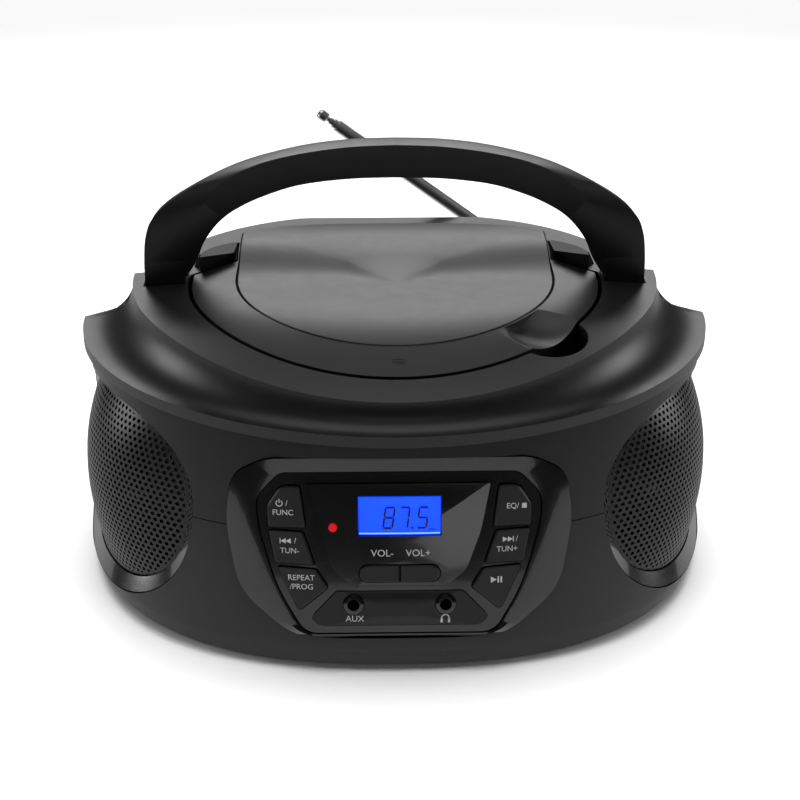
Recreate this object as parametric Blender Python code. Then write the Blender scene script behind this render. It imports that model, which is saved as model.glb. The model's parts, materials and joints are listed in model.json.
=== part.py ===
"""Portable CD boombox, built as an assembly of separate named sub-parts.

Sizes are written in millimetres and angles in degrees; meshes are scaled to metres as they are made.
Frame: +Z up from the surface it stands on, -Y towards the control panel, +X to the listener's right.
"""

import math

import bmesh
import bpy
from mathutils import Matrix, Vector

MM = 0.001
GAP = 0.3
SIDES = 56

# Cabinet: outlines are superellipses, one for the front half and one for the back half.
BODY_HALF_WIDTH = 118.0
BODY_HALF_DEPTH = 107.5
SIDE_LEAN = 5.0
FRONT_LEAN = 14.5
BODY_POWER = 2.4
BACK_Y = 96.0
WALL = 2.2
BASE_EDGE_Z = 8.0
PARTING_Z = 50.0
DECK_Z = 106.5
SKIRT_Z = DECK_Z - 20.5
PLINTH_Z = 1.5
PLINTH_INSET = 4.0
FLOOR_Z = 4.2

# Skirt, flare and deck of the top cover.
SKIRT_OVER_SIDE = 4.0
SKIRT_HALF_DEPTH = 106.0
SKIRT_POWER = 1.95
SHOULDER_NARROWING = 0.17
SHOULDER_RUN = 26.0
LIP_HEIGHT = 4.0
RIM_INSET = 19.5
DECK_WALL = 2.5
DECK_SLOPE = 0.08
CROWN_RADIUS = 58.0
BARREL_START = 40.0
BARREL_RUN = 414.0

# Fold-down carrying handle.
PIVOT_Y = -4.0
PIVOT_Z = DECK_Z - 7.9
HANDLE_SIDE_GAP = 5.5
HANDLE_HEIGHT = 61.5
HANDLE_BACK = 3.0
ROOT_CLEARANCE = 0.7
PIN_RADIUS = 2.0
LEDGE_START_Y = 2.0
LEDGE_DEPTH = 11.5

# Lid and its opening.
LID_CENTRE_Y = -11.0
OPENING_RADIUS = 76.0
LID_GAP = 1.5
TONGUE_HALF_WIDTH = 60.4
STEP_OUTER = (74.6, -3.8)
STEP_INNER_Y = 6.5
PANEL_RADIUS = 58.4
LID_WALL = 2.0
LID_DEPTH = 5.0
LID_SKIN = 2.0
LID_BASE = 1.8
LID_BOTTOM_Z = DECK_Z - 10.0
HUMP_HALF_WIDTH = 72.4
HUMP_RISE = 4.8
HUMP_CLEARANCE = 1.3
HINGE_Y = 35.5
HINGE_Z = DECK_Z - 0.5
HINGE_PIN_RADIUS = 1.3
HINGE_LUG = (20.5, 25.5)
HINGE_POST = (26.0, 30.0)
REAR_RIM = 2.5
NOTCH_BEARING = -43.5
NOTCH_RADIUS = 13.6
NOTCH_FLOOR_Z = DECK_Z - 20.5
SCOOP_DEPTH = 3.6
NOTCH_PAST_LID = 9.7
HUMP_FALL_START = 22.0
HUMP_FALL = 1.9

# Disc bay and drive.
SPINDLE_Y = -23.0
DISH_RADIUS = 61.0
SHELF_Z = DECK_Z - 13.3
DISH_Z = DECK_Z - 17.3
TRAY_BOTTOM_Z = DECK_Z - 19.5
SLED_TRAVEL = 27.0

# Speakers, one each side, turned towards the front.
SPEAKER_YAW = 26.3
SPEAKER_AIM_Y = 4.5
SPEAKER_INSET = 15.5
SPEAKER_Z = 45.6
SPEAKER_HALF_LENGTH = 49.0
SPEAKER_HALF_HEIGHT = 37.0
SPEAKER_POWER = 2.5
SPEAKER_SIDES = 32
TRIM_FRONT = 4.5
TRIM_LOW = 6.0
GRILLE_THICKNESS = 1.2
GRILLE_DOME = 18.6
CONE_RADIUS = 27.0

# Control panel, leaning back, its face a shallow cylinder.
PANEL_Z = 14.0
PANEL_LEAN = 12.5
PANEL_PROUD = 1.1
PANEL_CURVE = 280.0
BUTTON_PROUD = 1.2
BUTTON_BACK = 4.5
BUTTON_GAP = 0.45
BEZEL_PROUD = 0.8
BEZEL_BACK = 9.0

# Back: battery bay, mains inlet and antenna.
BAY_LOW = (-26.0, 58.0, 12.0)
BAY_HIGH = (54.0, 96.0, 47.0)
BAY_WALL = 1.8
DOOR_THICKNESS = 2.0
INLET_X = -48.0
INLET_Z = 26.0
ANTENNA_X = 52.0
ANTENNA_Z = 78.4
ANTENNA_STANDOFF = 7.6
ANTENNA_RISE = 36.4
ANTENNA_LENGTH = 88.0
ANTENNA_RADII = (2.6, 2.0, 1.45, 0.95)
ANTENNA_WALLS = (0.35, 0.3, 0.25, 0.0)

BOARD_Z = 12.0
FOOT_RADIUS = 7.0
FOOT_HEIGHT = 3.2
FOOT_X = 72.0
FOOT_Y = 66.0


# ---------------------------------------------------------------- materials


def material(name, colour, roughness, metallic=0.0):
    made = bpy.data.materials.new(name)
    made.use_nodes = True
    shader = made.node_tree.nodes["Principled BSDF"]
    shader.inputs["Base Color"].default_value = (*colour, 1.0)
    shader.inputs["Roughness"].default_value = roughness
    shader.inputs["Metallic"].default_value = metallic
    made.diffuse_color = (*colour, 1.0)
    return made


def all_materials():
    return {
        "satin_black": material("satin_black", (0.022, 0.022, 0.024), 0.38),
        "gloss_black": material("gloss_black", (0.012, 0.012, 0.014), 0.08),
        "button_black": material("button_black", (0.035, 0.035, 0.038), 0.45),
        "grille_metal": material("grille_metal", (0.03, 0.03, 0.032), 0.45, 0.6),
        "chrome": material("chrome", (0.75, 0.75, 0.76), 0.12, 1.0),
        "steel": material("steel", (0.55, 0.55, 0.56), 0.3, 1.0),
        "lcd_blue": material("lcd_blue", (0.05, 0.14, 0.95), 0.2),
        "led_red": material("led_red", (0.8, 0.02, 0.02), 0.2),
        "board_green": material("board_green", (0.05, 0.22, 0.08), 0.5),
        "cone_paper": material("cone_paper", (0.05, 0.05, 0.05), 0.8),
        "rubber": material("rubber", (0.02, 0.02, 0.02), 0.85),
    }


# ---------------------------------------------------------------- mesh helpers


def place(name, bm, finish):
    """Makes an object of a bmesh drawn in millimetres."""
    bmesh.ops.recalc_face_normals(bm, faces=bm.faces)
    bm.transform(Matrix.Scale(MM, 4))
    mesh = bpy.data.meshes.new(name)
    bm.to_mesh(mesh)
    bm.free()
    mesh.materials.append(FINISHES[finish])
    mesh.shade_smooth()
    mesh.set_sharp_from_angle(angle=math.radians(35))
    made = bpy.data.objects.new(name, mesh)
    bpy.context.scene.collection.objects.link(made)
    return made


def helper(name, bm):
    """A hidden solid that a Boolean uses."""
    made = place("helper_" + name, bm, "steel")
    made.hide_render = True
    made.display_type = "WIRE"
    return made


def boolean(target, other, operation):
    modifier = target.modifiers.new(operation.title(), "BOOLEAN")
    modifier.object = other
    modifier.operation = operation
    modifier.solver = "EXACT"


def cut(target, *others):
    for other in others:
        boolean(target, other, "DIFFERENCE")


def join(target, *others):
    for other in others:
        boolean(target, other, "UNION")


def set_origin(made, point):
    """Moves the object's origin to a point in millimetres and leaves its shape where it is."""
    at = Vector(point) * MM
    made.data.transform(Matrix.Translation(-at))
    made.location = at


def loft(rings, closed=False):
    """Skins rings of equal count. A closed loft joins its last ring to its first; an open one is capped."""
    bm = bmesh.new()
    rows = [[bm.verts.new(point) for point in ring] for ring in rings]
    count = len(rows[0])
    pairs = list(zip(rows, rows[1:]))
    if closed:
        pairs.append((rows[-1], rows[0]))
    for low, high in pairs:
        for i in range(count):
            j = (i + 1) % count
            bm.faces.new((low[i], low[j], high[j], high[i]))
    if not closed:
        for row in (rows[0], rows[-1]):
            middle = bm.verts.new(sum((vert.co for vert in row), Vector()) / count)
            for i in range(count):
                bm.faces.new((row[i], row[(i + 1) % count], middle))
    return bm


def box(low, high):
    bm = bmesh.new()
    bmesh.ops.create_cube(bm, size=1.0)
    size = Vector(high) - Vector(low)
    middle = (Vector(high) + Vector(low)) / 2
    bmesh.ops.scale(bm, vec=size, verts=bm.verts)
    bmesh.ops.translate(bm, vec=middle, verts=bm.verts)
    return bm


def prism(outline, low, high):
    """A plan outline between two levels, each a number or a function of x and y."""

    def level(value, x, y):
        return value(x, y) if callable(value) else value

    return loft([[(x, y, level(value, x, y)) for x, y in outline] for value in (low, high)])


def turned(profile, origin, axis, sides=24, closed=False):
    """Turns (radius, distance along the axis) points round an axis through the origin."""
    along = Vector(axis).normalized()
    across = along.orthogonal().normalized()
    other = along.cross(across)
    centre = Vector(origin)
    rings = []
    for radius, distance in profile:
        ring = []
        for i in range(sides):
            turn = 2 * math.pi * i / sides
            spoke = across * math.cos(turn) + other * math.sin(turn)
            ring.append(centre + along * distance + spoke * radius)
        rings.append(ring)
    return loft(rings, closed)


def rod(start, end, radius, sides=24):
    axis = Vector(end) - Vector(start)
    return turned([(radius, 0.0), (radius, axis.length)], start, axis, sides)


def tube(start, end, radius, wall, sides=24):
    axis = Vector(end) - Vector(start)
    inner = radius - wall
    profile = [(radius, 0.0), (radius, axis.length), (inner, axis.length), (inner, 0.0)]
    return turned(profile, start, axis, sides, closed=True)


def soften(corners, trims, steps=4):
    """Rounds each corner of a closed outline with a curve that starts trim away from it."""
    outline = []
    count = len(corners)
    for i, corner in enumerate(corners):
        here = Vector(corner)
        before = Vector(corners[i - 1])
        after = Vector(corners[(i + 1) % count])
        start = here + (before - here).normalized() * trims[i]
        end = here + (after - here).normalized() * trims[i]
        for k in range(steps + 1):
            t = k / steps
            outline.append(start * (1 - t) ** 2 + here * 2 * t * (1 - t) + end * t**2)
    return outline


def grown(outline, distance):
    """Moves each point of a counter-clockwise outline outwards along its own normal."""
    moved = []
    count = len(outline)
    for i in range(count):
        edge = outline[(i + 1) % count] - outline[i - 1]
        outwards = Vector((edge.y, -edge.x)).normalized()
        moved.append(outline[i] + outwards * distance)
    return moved


def mirrored(half):
    """A whole outline from corners on the +X side, listed from the bottom up."""
    return list(half) + [(-x, y) for x, y in reversed(half)]


def smooth_path(points, steps):
    """A Catmull-Rom curve through points of any dimension."""
    path = []
    last = len(points) - 1
    for i in range(last):
        p0 = points[max(i - 1, 0)]
        p1 = points[i]
        p2 = points[i + 1]
        p3 = points[min(i + 2, last)]
        for k in range(steps):
            t = k / steps
            path.append(
                tuple(
                    0.5
                    * (
                        2 * b
                        + (c - a) * t
                        + (2 * a - 5 * b + 4 * c - d) * t**2
                        + (3 * b - a - 3 * c + d) * t**3
                    )
                    for a, b, c, d in zip(p0, p1, p2, p3)
                )
            )
    path.append(tuple(points[last]))
    return path


# ---------------------------------------------------------------- cabinet surfaces


def power(value, exponent):
    return math.copysign(abs(value) ** exponent, value)


def narrowing(y, share):
    """How much the top of the cabinet draws in behind its widest point."""
    t = min(max(y / SHOULDER_RUN, 0.0), 1.0)
    return 1 - SHOULDER_NARROWING * share * t * (2 - t)


def ring(half_width, front, front_power, level, inset=0.0, back=BODY_HALF_DEPTH, share=0.0):
    """A closed plan outline, flat at the back, with each half its own superellipse."""
    points = []
    for i in range(SIDES):
        turn = 2 * math.pi * i / SIDES
        behind = math.sin(turn) > 0
        bend = BODY_POWER if behind else front_power
        reach = (back if behind else front) - inset
        x = (half_width - inset) * power(math.cos(turn), 2 / bend)
        y = reach * power(math.sin(turn), 2 / bend)
        y = min(y, BACK_Y - inset)
        x *= narrowing(y, share)
        z = level(x, y) if callable(level) else level
        points.append((x, y, z))
    return points


def wall_half_width(z):
    return BODY_HALF_WIDTH - SIDE_LEAN * (z - BASE_EDGE_Z) / (SKIRT_Z - BASE_EDGE_Z)


def wall_front(z):
    return BODY_HALF_DEPTH - FRONT_LEAN * (z - BASE_EDGE_Z) / (SKIRT_Z - BASE_EDGE_Z)


def wall_ring(z, inset=0.0):
    share = max(0.0, (z - PARTING_Z - GAP) / (SKIRT_Z - PARTING_Z)) ** 1.5
    return ring(wall_half_width(z), wall_front(z), BODY_POWER, z, inset, share=share)


def outside(point):
    """Above zero outside the cabinet wall, below zero inside it."""
    x, y, z = point
    reach = wall_front(z) if y < 0 else BODY_HALF_DEPTH
    across = abs(x / wall_half_width(z)) ** BODY_POWER
    return across + abs(y / reach) ** BODY_POWER - 1


def reach_wall(at, near, far):
    """The distance at which a moving point meets the cabinet wall."""
    for _ in range(40):
        middle = (near + far) / 2
        if outside(at(middle)) > 0:
            far = middle
        else:
            near = middle
    return near


def skirt_half_width():
    return wall_half_width(SKIRT_Z) + SKIRT_OVER_SIDE


def rim_radius():
    return skirt_half_width() - RIM_INSET


def deck_level(x, y):
    """The crowned deck: it slopes down to the rim and rolls down towards the front."""
    slope = DECK_SLOPE * (rim_radius() - max(math.hypot(x, y), CROWN_RADIUS))
    roll = max(0.0, -y - BARREL_START) ** 2 / BARREL_RUN
    return DECK_Z + slope - roll


def panel_level(x, y):
    """The lid's middle, which sweeps up to the hump and falls a little behind it."""
    t = min(max((y + 12) / 28, 0.0), 1.0)
    rise = HUMP_RISE * t * t * (3 - 2 * t)
    run = rear_y(0.0) - REAR_RIM - LID_GAP - HUMP_FALL_START
    behind = max(0.0, y - HUMP_FALL_START) / run
    return deck_level(x, y) + rise - HUMP_FALL * behind * behind


def hump_top():
    return DECK_Z + DECK_SLOPE * (rim_radius() - CROWN_RADIUS) + HUMP_RISE


# ---------------------------------------------------------------- handle


def handle_half_width():
    return rim_radius() - HANDLE_SIDE_GAP


# Each station: outer, crease and inner edge as (inset from the half width, height above the pivot),
# then how far in front of the pivot each of the three edges stands.
HANDLE_STATIONS = (
    ((0.4, -6.0), (13.8, -6.0), (14.2, -6.0), (5.6, 5.6, 4.6)),
    ((0.0, -2.5), (14.0, -2.5), (14.4, -2.5), (7.8, 7.9, 6.5)),
    ((0.0, 3.5), (14.1, 3.5), (14.4, 3.2), (8.3, 8.1, 6.0)),
    ((0.1, 10.0), (14.4, 10.0), (14.8, 9.6), (8.5, 8.1, 6.0)),
    ((0.2, 18.4), (16.0, 18.6), (19.2, 17.3), (8.3, 8.1, 6.0)),
    ((1.2, 27.5), (18.0, 28.6), (22.6, 25.1), (7.5, 8.1, 6.0)),
    ((4.6, 34.5), (21.3, 38.0), (28.4, 32.5), (6.0, 8.1, 6.0)),
    ((15.0, 42.5), (30.0, 47.6), (35.5, 37.6), (3.5, 8.1, 6.0)),
    ((34.0, 52.2), (41.5, 54.0), (45.5, 42.2), (2.0, 8.1, 6.0)),
    ((55.0, 58.2), (56.5, 58.0), (58.0, 46.0), (2.0, 8.1, 6.0)),
    ((74.0, 60.9), (74.5, 60.6), (75.0, 48.1), (2.0, 8.1, 6.0)),
    ((92.0, 61.5), (92.0, 61.4), (92.0, 48.6), (2.0, 8.1, 6.0)),
)
STATION_HALF_WIDTH = 92.0
STATION_HEIGHT = 61.5


def handle_point(inset, height):
    """A station point on the +X side. Insets over 20 and heights over 10 stretch with the handle."""
    near = 20.0
    if inset > near:
        spread = (handle_half_width() - near) / (STATION_HALF_WIDTH - near)
        inset = near + (inset - near) * spread
    low = 10.0
    if height > low:
        height = low + (height - low) * (HANDLE_HEIGHT - low) / (STATION_HEIGHT - low)
    return handle_half_width() - inset, height


def handle_rows():
    """Half of the handle's stations as flat rows: three edge points, then three forward distances."""
    rows = []
    for outer, crease, inner, forward in HANDLE_STATIONS:
        row = (*handle_point(*outer), *handle_point(*crease), *handle_point(*inner), *forward)
        rows.append(row)
    return rows


def make_handle():
    half = smooth_path(handle_rows(), 2)
    flip = [tuple(-v if k in (0, 2, 4) else v for k, v in enumerate(row)) for row in half]
    rings = []
    for row in half + flip[-2::-1]:
        ox, oh, cx, ch, ix, ih, of, cf, nf = row
        back = PIVOT_Y + HANDLE_BACK
        rings.append(
            [
                (cx, PIVOT_Y - cf, PIVOT_Z + ch),
                (ox, PIVOT_Y - of, PIVOT_Z + oh),
                (ox - math.copysign(0.5, ox) * min(1.0, abs(ox)), back, PIVOT_Z + oh - 0.6),
                (ix, back, PIVOT_Z + ih + 0.6),
                (ix, PIVOT_Y - nf, PIVOT_Z + ih),
            ]
        )
    handle = place("handle", loft(rings), "satin_black")
    for side in (-1, 1):
        start = (side * (handle_half_width() - 10), PIVOT_Y, PIVOT_Z)
        end = (side * (handle_half_width() + 5), PIVOT_Y, PIVOT_Z)
        cut(handle, helper("handle_bore", rod(start, end, PIN_RADIUS + GAP, 20)))
    set_origin(handle, (0, PIVOT_Y, PIVOT_Z))
    for side, word in ((-1, "left"), (1, "right")):
        start = (side * (handle_half_width() - 9.5), PIVOT_Y, PIVOT_Z)
        end = (side * (rim_radius() - 0.8), PIVOT_Y, PIVOT_Z)
        place("handle_pin_" + word, rod(start, end, PIN_RADIUS, 20), "steel")


def handle_sweep():
    """The space the handle's inner edge passes through as it folds back."""
    inner = [(row[4], row[5]) for row in smooth_path(handle_rows(), 2) if row[5] > 9.0]
    half = [(height - HUMP_CLEARANCE / 2, x) for x, height in inner[:-1]]
    profile = half + [(height, -x) for height, x in reversed(half)]
    far = HANDLE_HEIGHT + 20
    profile += [(far, profile[-1][1]), (far, profile[0][1])]
    made = helper("handle_sweep", turned(profile, (0, PIVOT_Y, PIVOT_Z), (1, 0, 0), 48, closed=True))
    low = (-BODY_HALF_WIDTH, PIVOT_Y, PIVOT_Z)
    high = (BODY_HALF_WIDTH, PIVOT_Y + far + 5, PIVOT_Z + far)
    boolean(made, helper("sweep_quarter", box(low, high)), "INTERSECT")
    return made


def hump_outline():
    """Where the raised rear of the cover stops, inside the folded handle: +X side, front to back."""
    points = []
    for row in handle_rows()[3:]:
        x, height = row[4], row[5]
        points.append((x * (1 - HUMP_CLEARANCE / 75), PIVOT_Y + height - HUMP_CLEARANCE))
    return points


def rear_y(x):
    """The hump's back edge at a given x."""
    points = sorted(hump_outline())
    for (x0, y0), (x1, y1) in zip(points, points[1:]):
        if x0 <= x <= x1:
            return y0 + (y1 - y0) * (x - x0) / (x1 - x0)
    return points[-1][1]


# ---------------------------------------------------------------- lid outline


def step_point(gap, x):
    """A point on the step line in front of the humps, moved forward by the gap."""
    run = STEP_OUTER[0] - TONGUE_HALF_WIDTH
    slope = (STEP_INNER_Y - STEP_OUTER[1]) / run
    drop = gap * math.hypot(1, slope)
    return x, STEP_OUTER[1] + (STEP_OUTER[0] - x) * slope - drop


def lid_half(gap):
    """The lid opening's outline on the +X side, front to back, drawn in by the gap."""
    radius = OPENING_RADIUS - gap
    end_x = radius - 0.35
    end_y = step_point(gap, end_x)[1]
    end_turn = math.atan2(end_y - LID_CENTRE_Y, end_x)
    half = []
    arc_steps = 16
    for i in range(arc_steps + 1):
        turn = -math.pi / 2 + (end_turn + math.pi / 2) * i / arc_steps
        half.append((radius * math.cos(turn), LID_CENTRE_Y + radius * math.sin(turn)))
    side = TONGUE_HALF_WIDTH - gap
    for share in (0.35, 0.7, 1.0):
        half.append(step_point(gap, end_x + (side - end_x) * share))
    start_y = half[-1][1]
    end_y = rear_y(side) - REAR_RIM - gap
    for share in (0.25, 0.5, 0.75, 1.0):
        half.append((side, start_y + (end_y - start_y) * share))
    for share in (0.85, 0.68, 0.5, 0.34, 0.17):
        half.append((side * share, rear_y(side * share) - REAR_RIM - gap))
    half.append((0.0, rear_y(0.0) - REAR_RIM - gap))
    return half


def lid_outline(gap):
    """The whole outline, once round from the front; the front and back points are not doubled."""
    half = lid_half(gap)
    return half + [(-x, y) for x, y in half[-2:0:-1]]


def panel_half():
    """The lid panel's outline with one point for each point of the lid's own."""
    template = lid_half(LID_GAP)
    arc_count = 17
    side = PANEL_RADIUS
    half = []
    for i in range(arc_count):
        turn = -math.pi / 2 * (1 - i / (arc_count - 1))
        half.append((side * math.cos(turn), LID_CENTRE_Y + side * math.sin(turn)))
    corner_y = template[arc_count + 2][1]
    for share in (0.35, 0.7, 1.0):
        half.append((side, LID_CENTRE_Y + (corner_y - LID_CENTRE_Y) * share))
    for x, y in template[arc_count + 3 :]:
        half.append((x * side / (TONGUE_HALF_WIDTH - LID_GAP), y))
    return half


def panel_outline():
    half = panel_half()
    return half + [(-x, y) for x, y in half[-2:0:-1]]


def towards(outline, share):
    """The outline shrunk towards the middle of the lid."""
    return [(x * share, LID_CENTRE_Y + (y - LID_CENTRE_Y) * share) for x, y in outline]


def raised(outline, level, drop=0.0):
    return [(x, y, level(x, y) - drop) for x, y in outline]


# ---------------------------------------------------------------- top cover


def flare_rings(inset):
    """Rings from the skirt's lip up the hollow flare to the rim."""
    rings = []
    steps = 6
    for i in range(steps + 1):
        turn = math.pi / 2 * i / steps
        inwards = math.sin(turn)
        upwards = 1 - math.cos(turn)
        half_width = skirt_half_width() - RIM_INSET * inwards
        front = SKIRT_HALF_DEPTH + (rim_radius() - SKIRT_HALF_DEPTH) * inwards
        bend = SKIRT_POWER + (2 - SKIRT_POWER) * inwards
        back = BODY_HALF_DEPTH + (rim_radius() - BODY_HALF_DEPTH) * inwards
        low = SKIRT_Z + LIP_HEIGHT - inset

        def level(x, y, low=low, upwards=upwards):
            top = deck_level(x, y) - (DECK_WALL if inset else 0.0)
            return low + (top - low) * upwards

        rings.append(ring(half_width, front, bend, level, inset, back, 1 - inwards))
    return rings


def deck_rings(drop):
    """Rings across the deck, from just inside the rim to the middle."""
    rings = []
    for radius in (0.93, 0.8, 0.7, 0.6, 0.3):
        reach = radius * (rim_radius() - drop)
        points = ring(reach, reach, 2.0, deck_level, 0.0, reach)
        rings.append([(x, y, z - drop) for x, y, z in points])
    return rings


def skirt_ring(z, inset=0.0):
    return ring(skirt_half_width(), SKIRT_HALF_DEPTH, SKIRT_POWER, z, inset, share=1.0)


def ledge_prism(shrink, low):
    """The space behind the humps that the folded handle drops into."""
    half = [(x - shrink * 0.9, y - shrink) for x, y in hump_outline()]
    start = LEDGE_START_Y - shrink
    wide = BODY_HALF_WIDTH + 20
    deep = BODY_HALF_DEPTH + 20
    inner_x = half[0][0] + 0.6
    right = [(wide, start), (wide, deep), (-wide, deep), (-wide, start)]
    left_side = [(-inner_x, start)] + [(-x, y) for x, y in half]
    right_side = [(x, y) for x, y in reversed(half[:-1])] + [(inner_x, start)]
    bm = bmesh.new()
    points = right + left_side + right_side
    face = bm.faces.new([bm.verts.new((x, y, low)) for x, y in points])
    grown_face = bmesh.ops.extrude_face_region(bm, geom=[face])
    tops = [item for item in grown_face["geom"] if isinstance(item, bmesh.types.BMVert)]
    bmesh.ops.translate(bm, vec=(0, 0, 60), verts=tops)
    bmesh.ops.triangulate(bm, faces=bm.faces)
    return bm


def hump_prism(side):
    """One raised shoulder beside the lid's tongue."""
    inner_x = TONGUE_HALF_WIDTH - 0.8
    wide_x = HUMP_HALF_WIDTH
    edge = [(x + 2.5, y + 1.5) for x, y in hump_outline() if x > inner_x - 2]
    front = (wide_x, LEDGE_START_Y + 0.4)
    step = step_point(0.0, wide_x)
    plan = [(inner_x, STEP_INNER_Y + 0.6), step, front, *edge, (inner_x, rear_y(inner_x) + 2.5)]
    base = DECK_Z - LEDGE_DEPTH - 1.0

    def top(_, y):
        return hump_top() - 0.17 * (y - STEP_OUTER[1])

    return prism([(side * x, y) for x, y in plan], base, top)


def notch_centre():
    reach = OPENING_RADIUS + NOTCH_PAST_LID - NOTCH_RADIUS
    bearing = math.radians(NOTCH_BEARING)
    return reach * math.cos(bearing), LID_CENTRE_Y + reach * math.sin(bearing)


def make_top_cover():
    outer = [skirt_ring(SKIRT_Z), *flare_rings(0.0), *deck_rings(0.0)]
    cover = place("top_cover", loft(outer), "satin_black")
    ledge_z = DECK_Z - LEDGE_DEPTH
    for side in (-1, 1):
        join(cover, helper("hump", hump_prism(side)))
    cut(cover, helper("ledge", ledge_prism(0.0, ledge_z)))
    cut(cover, handle_sweep())

    below = [skirt_ring(SKIRT_Z - 5, DECK_WALL), *flare_rings(DECK_WALL), *deck_rings(DECK_WALL)]
    hollow = helper("hollow", loft(below))
    cut(hollow, helper("ledge_floor", ledge_prism(DECK_WALL, ledge_z - DECK_WALL)))
    wall_z = SHELF_Z + GAP
    cut(hollow, helper("opening_wall", prism(lid_outline(-2.0), wall_z, DECK_Z + 60)))
    x, y = notch_centre()
    notch_wall = turned([(NOTCH_RADIUS + 2, 0), (NOTCH_RADIUS + 2, 60)], (x, y, wall_z), (0, 0, 1))
    cut(hollow, helper("notch_wall", notch_wall))
    cut(cover, hollow)

    half = handle_half_width()
    inner_x = half - 14.4 - ROOT_CLEARANCE
    outer_x = half + ROOT_CLEARANCE
    front_y = PIVOT_Y - 8.3 - ROOT_CLEARANCE
    for side in (-1, 1):
        low = (min(side * (inner_x - 0.9), side * (rim_radius() - 2)), front_y - 2.2, PIVOT_Z - 9.5)
        high = (
            max(side * (inner_x - 0.9), side * (rim_radius() - 2)),
            LEDGE_START_Y - 0.7,
            DECK_Z - 1.5,
        )
        join(cover, helper("handle_boss", box(low, high)))
    for side in (-1, 1):
        low = (min(side * inner_x, side * outer_x), front_y, PIVOT_Z - 7.5)
        high = (max(side * inner_x, side * outer_x), LEDGE_START_Y + 12, DECK_Z + 30)
        cut(cover, helper("handle_pocket", box(low, high)))
        start = (side * (half - 2), PIVOT_Y, PIVOT_Z)
        end = (side * (rim_radius() + 8), PIVOT_Y, PIVOT_Z)
        cut(cover, helper("pin_bore", rod(start, end, PIN_RADIUS + GAP, 20)))

    cut(cover, helper("lid_opening", prism(lid_outline(0.0), SKIRT_Z - 6, DECK_Z + 60)))
    notch = turned([(NOTCH_RADIUS, 0), (NOTCH_RADIUS, 60)], (x, y, SKIRT_Z - 6), (0, 0, 1))
    cut(cover, helper("notch", notch))
    relief_low = (-TONGUE_HALF_WIDTH, HINGE_Y - 8, HINGE_Z - 5)
    relief_high = (TONGUE_HALF_WIDTH, HINGE_Y + 16, DECK_Z + 40)
    cut(cover, helper("rear_relief", box(relief_low, relief_high)))


# ---------------------------------------------------------------- cabinets


def make_upper_cabinet():
    flange = skirt_half_width() - DECK_WALL - GAP
    depth = SKIRT_HALF_DEPTH - DECK_WALL - GAP
    back = BODY_HALF_DEPTH - DECK_WALL - GAP
    flange_top = SKIRT_Z + 1.2

    def flange_ring(z):
        points = ring(flange, depth, SKIRT_POWER, z, 0.0, back, 1.0)
        return [(x, min(y, BACK_Y - DECK_WALL - GAP), z) for x, y, z in points]

    base = PARTING_Z + GAP / 2
    mid = (base + SKIRT_Z) / 2
    inner_top = [(x * 0.985, y * 0.985, flange_top) for x, y, _ in wall_ring(SKIRT_Z, WALL)]
    rings = [
        wall_ring(base),
        wall_ring(mid),
        wall_ring(SKIRT_Z - GAP),
        [(x, y, SKIRT_Z - GAP / 2) for x, y, _ in flange_ring(SKIRT_Z)],
        flange_ring(flange_top),
        inner_top,
        wall_ring(mid, WALL),
        wall_ring(base, WALL),
    ]
    cabinet = place("upper_cabinet", loft(rings, closed=True), "satin_black")
    cut(cabinet, *speaker_cutters(), panel_cutter())


def make_lower_cabinet():
    top = PARTING_Z - GAP / 2
    plinth_top = BASE_EDGE_Z - 0.8

    def plinth_ring(z, inset=0.0):
        return ring(BODY_HALF_WIDTH, BODY_HALF_DEPTH, BODY_POWER, z, PLINTH_INSET + inset)

    rings = [
        plinth_ring(PLINTH_Z),
        plinth_ring(plinth_top),
        ring(BODY_HALF_WIDTH, BODY_HALF_DEPTH, BODY_POWER, BASE_EDGE_Z - 0.4, 2.0),
        ring(BODY_HALF_WIDTH, BODY_HALF_DEPTH, BODY_POWER, BASE_EDGE_Z + 0.6, 0.5),
        wall_ring(BASE_EDGE_Z + 2.6),
        wall_ring(top),
        wall_ring(top, WALL),
        wall_ring(BASE_EDGE_Z + 3, WALL),
        plinth_ring(FLOOR_Z, WALL),
    ]
    cabinet = place("lower_cabinet", loft(rings), "satin_black")
    cut(cabinet, *speaker_cutters(), panel_cutter())
    bay = box(
        Vector(BAY_LOW) - Vector((BAY_WALL, BAY_WALL, BAY_WALL)),
        Vector(BAY_HIGH) + Vector((BAY_WALL, -0.5, BAY_WALL)),
    )
    join(cabinet, helper("bay_walls", bay))
    cut(cabinet, helper("bay", box(BAY_LOW, Vector(BAY_HIGH) + Vector((0, 10, 0)))))
    seat_low = (BAY_LOW[0] - 1.2, BACK_Y - DOOR_THICKNESS - GAP, BAY_LOW[2] - 1.2)
    seat_high = (BAY_HIGH[0] + 1.2, BACK_Y + 10, BAY_HIGH[2] + 1.2)
    cut(cabinet, helper("door_seat", box(seat_low, seat_high)))
    cut(cabinet, inlet_cutter())
    for x, y in board_posts():
        join(cabinet, helper("board_post", rod((x, y, FLOOR_Z - 1), (x, y, BOARD_Z - GAP), 2.5, 10)))
    for x, y in foot_places():
        reach = FOOT_RADIUS + GAP
        pocket = turned([(reach, -10), (reach, 0)], (x, y, FOOT_HEIGHT + GAP), (0, 0, 1))
        wide = FOOT_RADIUS + 2
        boss = turned([(wide, -0.5), (wide, 2.5)], (x, y, FOOT_HEIGHT), (0, 0, 1))
        join(cabinet, helper("foot_boss", boss))
        cut(cabinet, helper("foot_pocket", pocket))


def board_posts():
    return [(sx * 50.0, y) for sx in (-1, 1) for y in (-34.0, 44.0)]


def foot_places():
    x = FOOT_X + BODY_HALF_WIDTH - 118.0
    y = FOOT_Y + BODY_HALF_DEPTH - 107.5
    return [(sx * x, sy * y) for sx in (-1, 1) for sy in (-1, 1)]


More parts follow.
